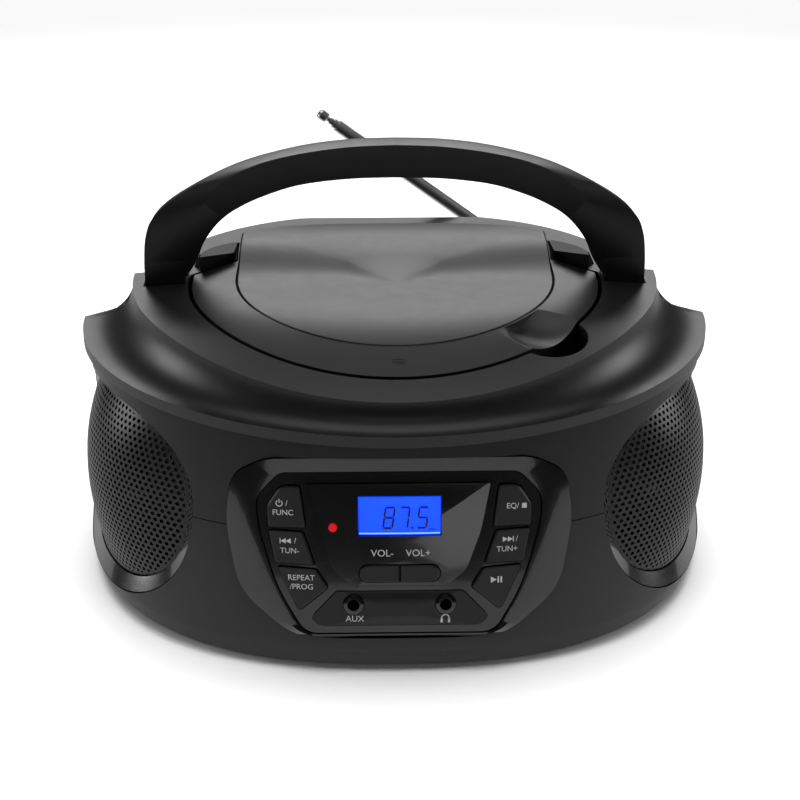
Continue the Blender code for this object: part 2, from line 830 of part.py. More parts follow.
def make_feet():
    words = ("left_front", "left_back", "right_front", "right_back")
    for (x, y), word in zip(foot_places(), words):
        profile = [(FOOT_RADIUS - 0.6, 0), (FOOT_RADIUS, 0.8), (FOOT_RADIUS, FOOT_HEIGHT)]
        place("foot_" + word, turned(profile, (x, y, 0), (0, 0, 1)), "rubber")


# ---------------------------------------------------------------- speakers


def speaker_frame(side):
    """The speaker's centre, its outward axis and the level direction that runs forwards."""
    yaw = math.radians(SPEAKER_YAW)
    axis = Vector((side * math.cos(yaw), -math.sin(yaw), 0))
    forward = Vector((-side * math.sin(yaw), -math.cos(yaw), 0))
    start = Vector((0, SPEAKER_AIM_Y, SPEAKER_Z))
    reach = reach_wall(lambda t: start + axis * t, 0.0, 2 * BODY_HALF_WIDTH)
    return start + axis * (reach - SPEAKER_INSET), axis, forward


def speaker_outline(length, height, low=0.0):
    """A superellipse round the speaker; its lower half can be drawn up by the low trim."""
    points = []
    for i in range(SPEAKER_SIDES):
        turn = 2 * math.pi * i / SPEAKER_SIDES
        u = length * power(math.cos(turn), 2 / SPEAKER_POWER)
        v = height * power(math.sin(turn), 2 / SPEAKER_POWER)
        if v < 0:
            v = v * (height - low) / height
        points.append((u, v))
    return points


def speaker_ring(side, outline, distance):
    """Places an outline on the speaker's frame, at a distance along its axis for each point."""
    centre, axis, forward = speaker_frame(side)
    placed = []
    for u, v in outline:
        w = distance(u, v) if callable(distance) else distance
        placed.append(centre + forward * u + Vector((0, 0, v)) + axis * w)
    return placed


def wall_distance(side):
    centre, axis, forward = speaker_frame(side)

    def distance(u, v):
        start = centre + forward * u + Vector((0, 0, v))
        return reach_wall(lambda t: start + axis * t, -30.0, 60.0)

    return distance


def speaker_cutters():
    made = []
    for side in (-1, 1):
        outline = speaker_outline(SPEAKER_HALF_LENGTH, SPEAKER_HALF_HEIGHT)
        rings = [speaker_ring(side, outline, w) for w in (-14.0, 45.0)]
        made.append(helper("speaker_opening", loft(rings)))
    return made


def grille_edge(side):
    wall = wall_distance(side)
    return lambda u, v: wall(u, v) - 3.5


def make_speaker(side, word):
    wall = wall_distance(side)
    edge = grille_edge(side)
    length = SPEAKER_HALF_LENGTH - 0.4
    height = SPEAKER_HALF_HEIGHT - 0.4
    grille_length = SPEAKER_HALF_LENGTH - TRIM_FRONT
    grille_height = SPEAKER_HALF_HEIGHT - 3.0
    outer = speaker_outline(length, height)
    inner = speaker_outline(grille_length + 0.4, grille_height + 0.4, TRIM_LOW - 3.0)
    seat = speaker_outline(grille_length - 2.5, grille_height - 2.5, TRIM_LOW - 3.0)
    back = -9.0
    rings = [
        speaker_ring(side, outer, back),
        speaker_ring(side, outer, lambda u, v: wall(u, v) - 0.4),
        speaker_ring(side, inner, lambda u, v: edge(u, v) + 0.6),
        speaker_ring(side, inner, lambda u, v: edge(u, v) - 1.8),
        speaker_ring(side, seat, lambda u, v: min(edge(u, v) - 2.0, 4.0)),
        speaker_ring(side, seat, back),
    ]
    place("speaker_surround_" + word, loft(rings, closed=True), "gloss_black")

    outline = speaker_outline(grille_length, grille_height, TRIM_LOW - 3.0)

    def dome(share, drop):
        scaled = [(u * share, v * share) for u, v in outline]

        def level(u, v):
            low = edge(u / share, v / share)
            return low + (GRILLE_DOME - low) * (1 - share * share) - drop

        return speaker_ring(side, scaled, level)

    shares = (1.0, 0.88, 0.68, 0.4, 0.15)
    rings = [dome(share, GRILLE_THICKNESS) for share in reversed(shares)]
    rings += [dome(share, 0.0) for share in shares]
    place("speaker_grille_" + word, loft(rings), "grille_metal")

    centre, axis, _ = speaker_frame(side)
    rim = CONE_RADIUS + 5
    profile = [
        (rim, 0.0), (rim, 1.6), (CONE_RADIUS + 1.5, 1.6), (CONE_RADIUS + 1.0, -1.5),
        (14.0, -17.0), (12.5, -17.0), (12.5, -20.0), (8.5, -20.0), (8.5, -26.0),
        (18.0, -26.0), (18.0, -18.5), (CONE_RADIUS + 2.5, -2.0), (CONE_RADIUS + 2.5, 0.0),
    ]
    origin = centre + axis * (back - 4.4)
    place("speaker_driver_" + word, turned(profile, origin, axis, 20, closed=True), "steel")
    cone = [
        (CONE_RADIUS + 4.4, 2.3), (CONE_RADIUS + 4.4, 2.8), (CONE_RADIUS + 1.5, 3.8),
        (CONE_RADIUS - 2.5, 2.4), (9.0, -9.6), (0.8, -7.0),
    ]
    inner_cone = [
        (0.8, -8.0), (7.6, -11.1), (7.6, -17.6),
        (8.1, -17.6), (8.1, -10.9), (CONE_RADIUS - 1.8, 2.0),
    ]
    whole = turned(list(reversed(cone)) + list(reversed(inner_cone)), origin, axis, 20, closed=True)
    made = place("speaker_cone_" + word, whole, "cone_paper")
    set_origin(made, centre)


# ---------------------------------------------------------------- control panel


def panel_origin():
    return Vector((0, -(wall_front(PANEL_Z) + PANEL_PROUD), PANEL_Z))


def panel_axes():
    lean = math.radians(PANEL_LEAN)
    up = Vector((0, math.sin(lean), math.cos(lean)))
    out = Vector((0, -math.cos(lean), math.sin(lean)))
    return up, out


def on_panel(x, v, height=0.0):
    """A point x across and v up the curved panel, raised off its face."""
    up, out = panel_axes()
    bend = x / PANEL_CURVE
    across = Vector((1, 0, 0))
    spoke = out * math.cos(bend) + across * math.sin(bend)
    centre = panel_origin() - out * PANEL_CURVE
    return centre + up * v + spoke * (PANEL_CURVE + height)


def panel_normal(x):
    _, out = panel_axes()
    bend = x / PANEL_CURVE
    return out * math.cos(bend) + Vector((1, 0, 0)) * math.sin(bend)


def panel_wall(x, v):
    """The height above the panel's face at which the cabinet wall lies."""
    return reach_wall(lambda t: on_panel(x, v, t), -25.0, 25.0)


def panel_ring(outline, height):
    return [on_panel(x, v, height(x, v) if callable(height) else height) for x, v in outline]


def plate(outline, low, high, middle_steps=2):
    """A curved plate whose faces follow the panel."""
    centre = sum((Vector(point) for point in outline), Vector((0, 0))) / len(outline)

    def scaled(share):
        return [centre + (Vector(point) - centre) * share for point in outline]

    shares = [1 - k / (middle_steps + 1) for k in range(middle_steps + 1)]
    rings = [panel_ring(scaled(share), low) for share in reversed(shares)]
    rings += [panel_ring(scaled(share), high) for share in shares]
    return loft(rings)


def bezel_outline():
    half = ((36.5, 0.0), (56.0, 16.0), (60.5, 42.0), (57.0, 57.5), (45.0, 63.5))
    trims = (8.0, 8.0, 9.0, 5.0, 5.0)
    return soften(mirrored(half), trims + trims[::-1], 2)


def face_outline():
    half = ((32.5, 1.8), (42.0, 18.0), (48.4, 41.0), (48.4, 50.0), (40.5, 58.4))
    trims = (4.5, 8.0, 4.5, 3.5, 2.5)
    return soften(mirrored(half), trims + trims[::-1], 2)


# Corners of the six function buttons on the +X side, from the lower inner corner round.
TOP_BUTTON = ((32.0, 39.5), (44.6, 39.5), (44.9, 47.0), (40.2, 53.9), (33.8, 53.9))
MIDDLE_BUTTON = ((29.0, 26.3), (42.4, 26.9), (44.4, 38.2), (32.8, 37.8))
LOWER_BUTTON = ((24.4, 18.4), (34.5, 9.8), (41.6, 25.4), (28.4, 24.7))
BUTTON_TRIMS = {
    "top": (1.0, 1.0, 1.6, 2.2, 1.0),
    "middle": (1.0, 1.0, 1.0, 1.0),
    "lower": (1.4, 1.4, 1.2, 1.0),
}
BUTTON_NAMES = {
    ("top", -1): "button_power_source",
    ("middle", -1): "button_tune_down",
    ("lower", -1): "button_repeat_program",
    ("top", 1): "button_stop_tone",
    ("middle", 1): "button_tune_up",
    ("lower", 1): "button_play_pause",
}


def button_outline(row, side):
    corners = {"top": TOP_BUTTON, "middle": MIDDLE_BUTTON, "lower": LOWER_BUTTON}[row]
    trims = BUTTON_TRIMS[row]
    if side < 0:
        corners = [(-x, v) for x, v in reversed(corners)]
        trims = trims[::-1]
    return soften(corners, trims, 2)


def lens_outline():
    half = ((16.0, 19.0), (22.6, 24.2), (27.6, 38.0), (30.8, 54.6))
    trims = (2.0, 2.5, 3.0, 0.9)
    return soften(mirrored(half), trims + trims[::-1], 2)


def volume_outline(side):
    """One half of the volume pill: flat at the middle, round at its outer end."""
    bottom, top, reach = 20.6, 26.4, 13.6
    middle = (bottom + top) / 2
    radius = (top - bottom) / 2
    inner = 0.25
    points = [(inner, bottom)]
    for k in range(7):
        turn = math.radians(-90 + 180 * k / 6)
        points.append((reach - radius + radius * math.cos(turn), middle + radius * math.sin(turn)))
    points.append((inner, top))
    if side < 0:
        points = [(-x, v) for x, v in reversed(points)]
    return [Vector(point) for point in points]


def jack_plate_outline():
    half = ((27.5, 4.6), (30.4, 7.4), (21.6, 16.9))
    trims = (2.0, 1.6, 1.0)
    return soften(mirrored(half), trims + trims[::-1], 2)


WINDOW = ((-14.2, 36.6), (14.2, 50.4))
LED_PLACE = (-22.6, 39.6)
LED_RADIUS = 1.4
JACKS = (("aux_jack", -15.8), ("headphone_jack", 15.6))
JACK_V = 12.3
JACK_RADIUS = 3.4
JACK_BORE = 1.8
BOARD_HEIGHT = -10.5


def panel_cutter():
    outline = grown(bezel_outline(), 0.35)
    rings = [panel_ring(outline, height) for height in (-16.0, 16.0)]
    return helper("panel_opening", loft(rings))


def panel_rod(x, v, radius, low, high, sides=20):
    return rod(on_panel(x, v, low), on_panel(x, v, high), radius, sides)


def window_outline(grow=0.0):
    (x0, v0), (x1, v1) = WINDOW
    steps = 4
    xs = [x0 - grow + (x1 - x0 + 2 * grow) * k / steps for k in range(steps + 1)]
    bottom = [Vector((x, v0 - grow)) for x in xs]
    top = [Vector((x, v1 + grow)) for x in reversed(xs)]
    return bottom + top


def make_panel():
    outer = bezel_outline()
    inner = grown(face_outline(), GAP)
    count = len(outer)
    between = [outer[i] * 0.35 + inner[i] * 0.65 for i in range(count)]
    rings = [
        panel_ring(outer, -BEZEL_BACK),
        panel_ring(outer, lambda x, v: panel_wall(x, v) + BEZEL_PROUD),
        panel_ring(between, lambda x, v: max(1.0, (panel_wall(x, v) + BEZEL_PROUD) * 0.4 + 0.6)),
        panel_ring(inner, 0.7),
        panel_ring(inner, -BEZEL_BACK),
    ]
    place("panel_bezel", loft(rings, closed=True), "gloss_black")

    face = place("control_panel", plate(face_outline(), -2.2, 0.0, 2), "gloss_black")
    for x, v in ((0.0, 11.5), (-20.0, 56.0), (20.0, 56.0)):
        join(face, helper("face_post", panel_rod(x, v, 1.5, BOARD_HEIGHT + 0.5, -1.8, 12)))
    pad = BUTTON_GAP
    for (row, side), name in BUTTON_NAMES.items():
        outline = button_outline(row, side)
        opening = [panel_ring(grown(outline, pad), h) for h in (-6.0, 4.0)]
        cut(face, helper("opening_" + name, loft(opening)))
        bevel = grown(outline, -0.5)
        rings = [
            panel_ring(outline, -BUTTON_BACK),
            panel_ring(outline, BUTTON_PROUD - 0.4),
            panel_ring(bevel, BUTTON_PROUD),
        ]
        button = place(name, loft(rings), "button_black")
        set_origin(button, on_panel(*(sum(outline, Vector((0, 0))) / len(outline))))
    lens_seat = plate(grown(lens_outline(), GAP), -1.2, 3.0, 1)
    cut(face, helper("lens_seat", lens_seat))
    cut(face, helper("window_back", loft([panel_ring(window_outline(0.6), h) for h in (-6.0, 3.0)])))
    jack_seat = plate(grown(jack_plate_outline(), GAP), -1.2, 3.0, 1)
    cut(face, helper("jack_seat", jack_seat))

    lens = place("display_lens", plate(lens_outline(), -0.9, 0.6, 2), "gloss_black")
    cut(lens, helper("window", loft([panel_ring(window_outline(), h) for h in (-4.0, 4.0)])))
    lcd_ring = window_outline(-GAP)
    place("lcd_module", loft([panel_ring(lcd_ring, h) for h in (-6.0, -0.2)]), "lcd_blue")
    x, v = LED_PLACE
    place("standby_led", panel_rod(x, v, LED_RADIUS, -6.0, 0.9, 16), "led_red")
    led_hole = helper("led_hole", panel_rod(x, v, LED_RADIUS + GAP, -8.0, 4.0, 16))
    cut(lens, led_hole)
    cut(face, led_hole)

    for side, name in ((-1, "button_volume_down"), (1, "button_volume_up")):
        outline = volume_outline(side)
        walls = [panel_ring(grown(outline, pad), h) for h in (-6, 4)]
        opening = helper("opening_" + name, loft(walls))
        cut(lens, opening)
        cut(face, opening)
        shape = [panel_ring(outline, -BUTTON_BACK), panel_ring(outline, 1.1)]
        shape.append(panel_ring(grown(outline, -0.5), 1.5))
        button = place(name, loft(shape), "button_black")
        set_origin(button, on_panel(side * 7.0, 23.5))

    jack_plate = place("jack_plate", plate(jack_plate_outline(), -0.9, 0.5, 2), "satin_black")
    for name, x in JACKS:
        hole = helper(name + "_hole", panel_rod(x, JACK_V, JACK_RADIUS + GAP, -12.0, 5.0))
        cut(jack_plate, hole)
        cut(face, hole)
        at = on_panel(x, JACK_V)
        profile = [(JACK_RADIUS, -8.0), (JACK_RADIUS, 0.9), (JACK_RADIUS - 0.6, 1.2),
                   (JACK_BORE + 0.3, 1.2), (JACK_BORE, 0.8), (JACK_BORE, -8.0)]
        place(name, turned(profile, at, panel_normal(x), 24, closed=True), "gloss_black")

    board = [Vector(p) for p in ((-40.0, 10.0), (40.0, 10.0), (40.0, 57.4), (-40.0, 57.4))]
    place("front_board", plate(board, BOARD_HEIGHT - 1.6, BOARD_HEIGHT, 0), "board_green")


# ---------------------------------------------------------------- disc bay, lid and drive


def make_tray():
    tray = place("disc_tray", prism(lid_outline(0.5), TRAY_BOTTOM_Z, SHELF_Z), "satin_black")
    x, y = notch_centre()
    boss_low = NOTCH_FLOOR_Z - 1.6
    boss_top = SHELF_Z - boss_low - 0.5
    collar = NOTCH_RADIUS + 1.7
    boss = turned([(collar, 0), (collar, boss_top)], (x, y, boss_low), (0, 0, 1))
    join(tray, helper("notch_boss", boss))
    spindle = (0, SPINDLE_Y, DISH_Z)

    def round_keep(name, radius, low, sides):
        return helper(name, turned([(radius, low), (radius, 40)], spindle, (0, 0, 1), sides))

    cut(tray, round_keep("dish", DISH_RADIUS, 0, 47))
    pocket_keep = round_keep("pocket_keep", DISH_RADIUS + 2, -20, 45)
    dish_keep = round_keep("dish_keep", DISH_RADIUS + 2.5, -20, 43)
    well = turned([(NOTCH_RADIUS, 0), (NOTCH_RADIUS, 40)], (x, y, NOTCH_FLOOR_Z), (0, 0, 1))
    pocket = helper("finger_pocket", well)
    cut(pocket, pocket_keep)
    underside = helper("underside", prism(lid_outline(2.7), TRAY_BOTTOM_Z - 5, SHELF_Z - 2.0))
    wide = NOTCH_RADIUS + 2.6
    keep_boss = turned([(wide, -9), (wide, 40)], (x, y, boss_low), (0, 0, 1))
    cut(underside, dish_keep, helper("keep_boss", keep_boss))
    cut(tray, pocket, underside)
    hub_hole = turned([(17.0, -20), (17.0, 20)], spindle, (0, 0, 1), 40)
    slot = box((10, SPINDLE_Y - 9, DISH_Z - 20), (56, SPINDLE_Y + 9, DISH_Z + 2))
    cut(tray, helper("hub_hole", hub_hole), helper("laser_slot", slot))
    for side in (-1, 1):
        xs = sorted(side * x for x in HINGE_POST)
        post = box((xs[0], HINGE_Y - 2.3, SHELF_Z - 1), (xs[1], HINGE_Y + 2.3, HINGE_Z))
        join(tray, helper("hinge_post", post))
        eye = rod((xs[0] + 0.2, HINGE_Y, HINGE_Z), (xs[1] - 0.2, HINGE_Y, HINGE_Z), 2.4, 19)
        join(tray, helper("hinge_eye", eye))
    for side in (-1, 1):
        start = (side * (HINGE_POST[0] - 3), HINGE_Y, HINGE_Z)
        end = (side * (HINGE_POST[1] + 3), HINGE_Y, HINGE_Z)
        cut(tray, helper("hinge_bore", rod(start, end, HINGE_PIN_RADIUS + GAP, 16)))
    for side, word in ((-1, "left"), (1, "right")):
        start = (side * (HINGE_LUG[0] + 0.2), HINGE_Y, HINGE_Z)
        end = (side * HINGE_POST[1], HINGE_Y, HINGE_Z)
        place("lid_hinge_pin_" + word, rod(start, end, HINGE_PIN_RADIUS, 16), "steel")


def lid_bottom(x, y):
    t = min(max((y - 14) / 12, 0.0), 1.0)
    return LID_BOTTOM_Z + (HINGE_Z + 3.0 - LID_BOTTOM_Z) * t


def make_lid():
    outline = lid_outline(LID_GAP)
    inner = lid_outline(LID_GAP + LID_WALL)
    panel = panel_outline()
    half_count = len(lid_half(0.0))
    total = len(outline)
    tongue_start = 20
    tongue = [tongue_start <= min(i, total - i) < half_count for i in range(total)]
    wide = towards(panel, 1 + 0.35 / PANEL_RADIUS)
    seat = [(x * 0.985, y - 0.8) if tongue[i] else wide[i] for i, (x, y) in enumerate(panel)]

    def seat_level(i, x, y):
        """The ring's own top, or the seat under the panel where the tongue is."""
        return panel_level(x, y) - LID_SKIN - GAP if tongue[i] else deck_level(x, y)

    def under(x, y, drop):
        return (x, y, panel_level(x, y) - LID_SKIN - GAP - drop)

    def ring_under(i, x, y):
        if tongue[i]:
            return under(x, y, LID_BASE)
        return (x, y, min(deck_level(x, y) - LID_DEPTH, panel_level(x, y) - LID_SKIN - GAP - LID_BASE))

    def wall_foot(i, x, y):
        return (x, y, min(lid_bottom(x, y), ring_under(i, x, y)[2] - 0.4))

    rings = [[under(x, y, LID_BASE) for x, y in towards(panel, share)] for share in (0.3, 0.6, 0.85)]
    rings += [
        [ring_under(i, x, y) for i, (x, y) in enumerate(towards(panel, 0.94))],
        [ring_under(i, x, y) for i, (x, y) in enumerate(inner)],
        [wall_foot(i, x, y) for i, (x, y) in enumerate(inner)],
        [wall_foot(i, x, y) for i, (x, y) in enumerate(outline)],
        [(x, y, seat_level(i, x, y)) for i, (x, y) in enumerate(outline)],
        [(x, y, seat_level(i, x, y)) for i, (x, y) in enumerate(seat)],
        [under(x, y, 0.0) for x, y in towards(seat, 0.998)],
    ]
    rings += [[under(x, y, 0.0) for x, y in towards(panel, share)] for share in (0.93, 0.85, 0.73, 0.6, 0.3)]
    lid = place("lid_ring", loft(rings), "satin_black")
    x, y = notch_centre()
    surface = deck_level(x, y)
    ball_radius = (NOTCH_RADIUS**2 + SCOOP_DEPTH**2) / (2 * SCOOP_DEPTH)
    ball = bmesh.new()
    bmesh.ops.create_uvsphere(ball, u_segments=24, v_segments=24, radius=ball_radius)
    bmesh.ops.translate(ball, vec=(x, y, surface - SCOOP_DEPTH + ball_radius), verts=ball.verts)
    scoop = helper("scoop", ball)
    keep = prism(towards(panel, 1.012), SKIRT_Z, DECK_Z + 40)
    cut(scoop, helper("panel_keep", keep))
    cut(lid, scoop)
    for side in (-1, 1):
        xs = sorted(side * x for x in HINGE_LUG)
        lug_top = panel_level(xs[1], HINGE_Y + 2.3) - LID_SKIN - GAP - 0.7
        lug = box((xs[0], HINGE_Y - 2.3, HINGE_Z), (xs[1], HINGE_Y + 2.3, lug_top))
        eye = rod((xs[0] + 0.2, HINGE_Y, HINGE_Z), (xs[1] - 0.2, HINGE_Y, HINGE_Z), 2.4, 19)
        join(lid, helper("hinge_lug", lug), helper("lug_eye", eye))
    for side in (-1, 1):
        start = (side * (HINGE_LUG[0] - 3), HINGE_Y, HINGE_Z)
        end = (side * (HINGE_LUG[1] + 3), HINGE_Y, HINGE_Z)
        cut(lid, helper("lug_bore", rod(start, end, HINGE_PIN_RADIUS + GAP, 16)))
    cup_low = DISH_Z + 8.8
    cup = [(8.0, 0), (14.0, 0), (14.0, 8.6), (12.2, 8.6), (12.2, 1.3), (8.0, 1.3)]
    join(lid, helper("clamp_cup", turned(cup, (0, SPINDLE_Y, cup_low), (0, 0, 1), 36, closed=True)))
    set_origin(lid, (0, HINGE_Y, HINGE_Z))

    def skin(outline_2d, drop):
        return [(x, y, panel_level(x, y) - drop) for x, y in outline_2d]

    rings = [skin(towards(panel, share), LID_SKIN) for share in (0.3, 0.6, 0.73, 0.85, 0.93, 1.0)]
    rings += [skin(panel, 0.7), skin(towards(panel, 0.988), 0.0)]
    rings += [skin(towards(panel, share), 0.0) for share in (0.85, 0.6, 0.3)]
    lid_panel = place("lid_panel", loft(rings), "satin_black")
    set_origin(lid_panel, (0, HINGE_Y, HINGE_Z))

    clamp = [(13.0, 4.5), (13.0, 7.6), (7.2, 7.6), (7.2, 11.4), (11.0, 11.4), (11.0, 13.4)]
    made = place("disc_clamp", turned(clamp, (0, SPINDLE_Y, DISH_Z), (0, 0, 1), 24), "button_black")
    set_origin(made, (0, SPINDLE_Y, 0))


def make_drive():
    y = SPINDLE_Y
    z = DISH_Z
    far_x = 28.5 + SLED_TRAVEL
    plate_low = (-34, y - 36, z - 11.6)
    chassis = place("drive_chassis", box(plate_low, (far_x + 6.5, y + 26, z - 9.6)), "steel")
    cut(chassis, helper("motor_window", rod((0, y, z - 19.2), (0, y, z + 0.8), 5.0)))
    window = box((22, y - 8, z - 19.2), (far_x - 5.5, y + 8, z + 0.8))
    cut(chassis, helper("sled_window", window))
    rod_y = y + 12.0
    rod_z = z - 6.8
    for x in (16.0, far_x + 2.5):
        post = box((x - 1.5, rod_y - 3, z - 10.2), (x + 1.5, rod_y + 3, z - 4.0))
        join(chassis, helper("rod_post", post))
    bore = rod((12.0, rod_y, rod_z), (far_x + 5.5, rod_y, rod_z), 1.5, 16)
    cut(chassis, helper("rod_bore", bore))
    place("guide_rod", rod((13.0, rod_y, rod_z), (far_x + 4.5, rod_y, rod_z), 1.2, 16), "chrome")

    motor = turned([(12.0, -21.7), (12.0, -12.0), (1.0, -12.0), (1.0, -1.2)], (0, y, z), (0, 0, 1), 28)
    place("spindle_motor", motor, "steel")
    hub = [(1.3, -4.0), (13.5, -4.0), (13.5, 1.4), (7.3, 1.4), (6.6, 3.4), (4.0, 4.0), (1.3, 4.0)]
    whole = turned(hub, (0, y, z), (0, 0, 1), 24, closed=True)
    hub_object = place("turntable_hub", whole, "button_black")
    set_origin(hub_object, (0, y, 0))

    sled_low = (19.0, y - 12.5, z - 8.8)
    sled = place("laser_sled", box(sled_low, (28.5, y + 15.0, z - 4.6)), "button_black")
    join(sled, helper("lens_barrel", rod((23.7, y, z - 5.2), (23.7, y, z - 1.6), 3.4)))
    cut(sled, helper("sled_bore", rod((15.0, rod_y, rod_z), (40.0, rod_y, rod_z), 1.5, 16)))


# ---------------------------------------------------------------- inside and back


def inlet_cutter():
    low = (INLET_X - 12.3, BACK_Y - 10, INLET_Z - 8.3)
    high = (INLET_X + 12.3, BACK_Y + 5, INLET_Z + 8.3)
    return helper("inlet_opening", box(low, high))


def stadium(half_length, radius, x, z, y, steps=8):
    """A ring with round ends in a plane across Y."""
    points = []
    for side, start in ((1, -90), (-1, 90)):
        for k in range(steps + 1):
            turn = math.radians(start + 180 * k / steps)
            px = x + side * half_length + radius * math.cos(turn)
            points.append((px, y, z + radius * math.sin(turn)))
    return points


def make_back():
    low = (INLET_X - 12, BACK_Y - 22, INLET_Z - 8)
    high = (INLET_X + 12, BACK_Y - 0.4, INLET_Z + 8)
    inlet = place("mains_inlet", box(low, high), "button_black")
    hollow = loft([stadium(4.2, 4.6, INLET_X, INLET_Z, y) for y in (BACK_Y - 14, BACK_Y + 4)])
    cut(inlet, helper("inlet_socket", hollow))
    for side in (-1, 1):
        x = INLET_X + side * 4.2
        pin = rod((x, BACK_Y - 16, INLET_Z), (x, BACK_Y - 5, INLET_Z), 1.2, 12)
        join(inlet, helper("inlet_pin", pin))

    door_low = (BAY_LOW[0] - 0.9, BACK_Y - DOOR_THICKNESS, BAY_LOW[2] - 0.9)
    door_high = (BAY_HIGH[0] + 0.9, BACK_Y, BAY_HIGH[2] + 0.9)
    door = place("battery_door", box(door_low, door_high), "satin_black")
    for k in range(3):
        z = BAY_HIGH[2] - 6 - 2.4 * k
        groove = box((4.0, BACK_Y - 0.7, z), (24.0, BACK_Y + 2, z + 1.0))
        cut(door, helper("door_grip", groove))
    set_origin(door, (0, BACK_Y, door_low[2]))
    spring = turned([(5.5, 0.0), (5.2, 1.2), (2.2, 7.0), (1.6, 7.0), (4.4, 0.6), (4.6, 0.0)],
                    (BAY_LOW[0] + 0.4, 76.0, 29.0), (1, 0, 0), 16, closed=True)
    place("battery_spring", spring, "steel")
    place("battery_contact", box((BAY_HIGH[0] - 1.0, 68.0, 21.0), (BAY_HIGH[0] - 0.4, 84.0, 37.0)), "steel")

    place("main_board", box((-58, -40, BOARD_Z), (58, 50, BOARD_Z + 1.6)), "board_green")
    place("transformer", box((-88, 22, FLOOR_Z + GAP), (-62, 54, FLOOR_Z + 34)), "steel")


def antenna_root():
    return Vector((ANTENNA_X, BACK_Y + ANTENNA_STANDOFF, ANTENNA_Z))


def antenna_axis():
    rise = math.radians(ANTENNA_RISE)
    return Vector((-math.cos(rise), 0, math.sin(rise)))


def make_antenna():
    root = antenna_root()
    along = antenna_axis()
    tilt = along.cross(Vector((0, 1, 0))).normalized()
    base_y = BACK_Y + GAP
    disc = turned([(5.6, 0.0), (5.6, 1.6), (4.6, 2.3)], (root.x, base_y, root.z), (0, 1, 0), 28)
    base = place("antenna_base", disc, "button_black")
    tongue = rod(root - tilt * 1.6, root + tilt * 1.6, 2.7, 20)
    join(base, helper("antenna_tongue", tongue))
    neck_start = Vector((root.x, base_y + 1.5, root.z))
    neck = box((-1.6, 0, -2.2), (1.6, root.y - neck_start.y, 2.2))
    turn = Matrix.Rotation(math.radians(ANTENNA_RISE - 90), 4, "Y")
    neck.transform(Matrix.Translation(neck_start) @ turn)
    join(base, helper("antenna_neck", neck))
    set_origin(base, (root.x, BACK_Y, root.z))

    start = 4.4
    for i, radius in enumerate(ANTENNA_RADII):
        wall = ANTENNA_WALLS[i]
        low = root + along * (start + (8.0 + 1.4 * i if i else 2.5))
        high = root + along * (start + ANTENNA_LENGTH + 1.9 * i)
        name = "antenna_section_" + str(i + 1)
        if wall:
            section = place(name, tube(low, high, radius, wall, 18), "chrome")
        else:
            section = place(name, rod(low, high, radius, 14), "chrome")
            knob_start = high - along * 0.6
            knob = turned([(1.5, 0), (2.2, 0.7), (2.2, 3.6), (1.6, 4.4)], knob_start, along, 18)
            join(section, helper("antenna_knob", knob))
        if i == 0:
            collar = turned([(3.4, 0), (3.4, 6.0), (2.8, 7.2)], root + along * start, along, 20)
            join(section, helper("antenna_collar", collar))
            for side in (-1, 1):
                cheek = rod(root + tilt * side * 1.95, root + tilt * side * 3.2, 2.6, 16)
                join(section, helper("antenna_cheek", cheek))
                arm = box((-1.3, 0, -2.3), (start + 1.0, 0.625 * 2, 2.3))
                spin = Matrix((along, tilt * side, along.cross(tilt * side))).transposed().to_4x4()
                arm.transform(Matrix.Translation(root + tilt * side * 1.95) @ spin)
                join(section, helper("antenna_arm", arm))
        set_origin(section, root)


def main():
    make_top_cover()
    make_upper_cabinet()
    make_lower_cabinet()
    make_feet()
    make_handle()
    make_tray()
    make_lid()
    make_drive()
    for side, word in ((-1, "left"), (1, "right")):
        make_speaker(side, word)
    make_panel()
    make_back()
    make_antenna()


for item in list(bpy.data.objects):
    bpy.data.objects.remove(item)
FINISHES = all_materials()
main()
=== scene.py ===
"""Portable CD boombox: the finished look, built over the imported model."""

import json
import math

import bmesh
import bpy
from mathutils import Matrix, Vector


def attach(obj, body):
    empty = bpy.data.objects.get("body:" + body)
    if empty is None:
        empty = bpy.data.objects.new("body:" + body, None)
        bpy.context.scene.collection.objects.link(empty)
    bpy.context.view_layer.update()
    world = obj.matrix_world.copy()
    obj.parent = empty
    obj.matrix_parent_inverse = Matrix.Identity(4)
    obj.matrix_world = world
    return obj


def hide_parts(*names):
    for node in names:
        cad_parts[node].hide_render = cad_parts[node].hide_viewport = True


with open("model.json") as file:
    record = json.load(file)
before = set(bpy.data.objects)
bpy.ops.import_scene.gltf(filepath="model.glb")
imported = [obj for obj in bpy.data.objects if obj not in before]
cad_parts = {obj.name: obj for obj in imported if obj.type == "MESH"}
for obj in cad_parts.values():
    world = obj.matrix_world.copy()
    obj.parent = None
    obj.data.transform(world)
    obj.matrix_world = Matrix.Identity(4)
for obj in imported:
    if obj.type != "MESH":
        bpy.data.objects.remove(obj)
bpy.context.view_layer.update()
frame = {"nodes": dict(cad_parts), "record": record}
NODE_BODY = {node: body for body, nodes in frame["record"]["behaviour"]["bodies"].items() for node in nodes}
NODE_SLOT = {item["node"]: item["material_slot"] for item in frame["record"]["subparts"]}

MM = 0.001
GAP = 0.3
SIDES = 208

# Cabinet: outlines are superellipses, one for the front half and one for the back half.
BODY_HALF_WIDTH = 118.0
BODY_HALF_DEPTH = 107.5
SIDE_LEAN = 5.0
FRONT_LEAN = 14.5
BODY_POWER = 2.4
BACK_Y = 96.0
WALL = 2.2
BASE_EDGE_Z = 8.0
PARTING_Z = 50.0
DECK_Z = 106.5
SKIRT_Z = DECK_Z - 20.5
PLINTH_Z = 1.5
PLINTH_INSET = 4.0
FLOOR_Z = 4.2

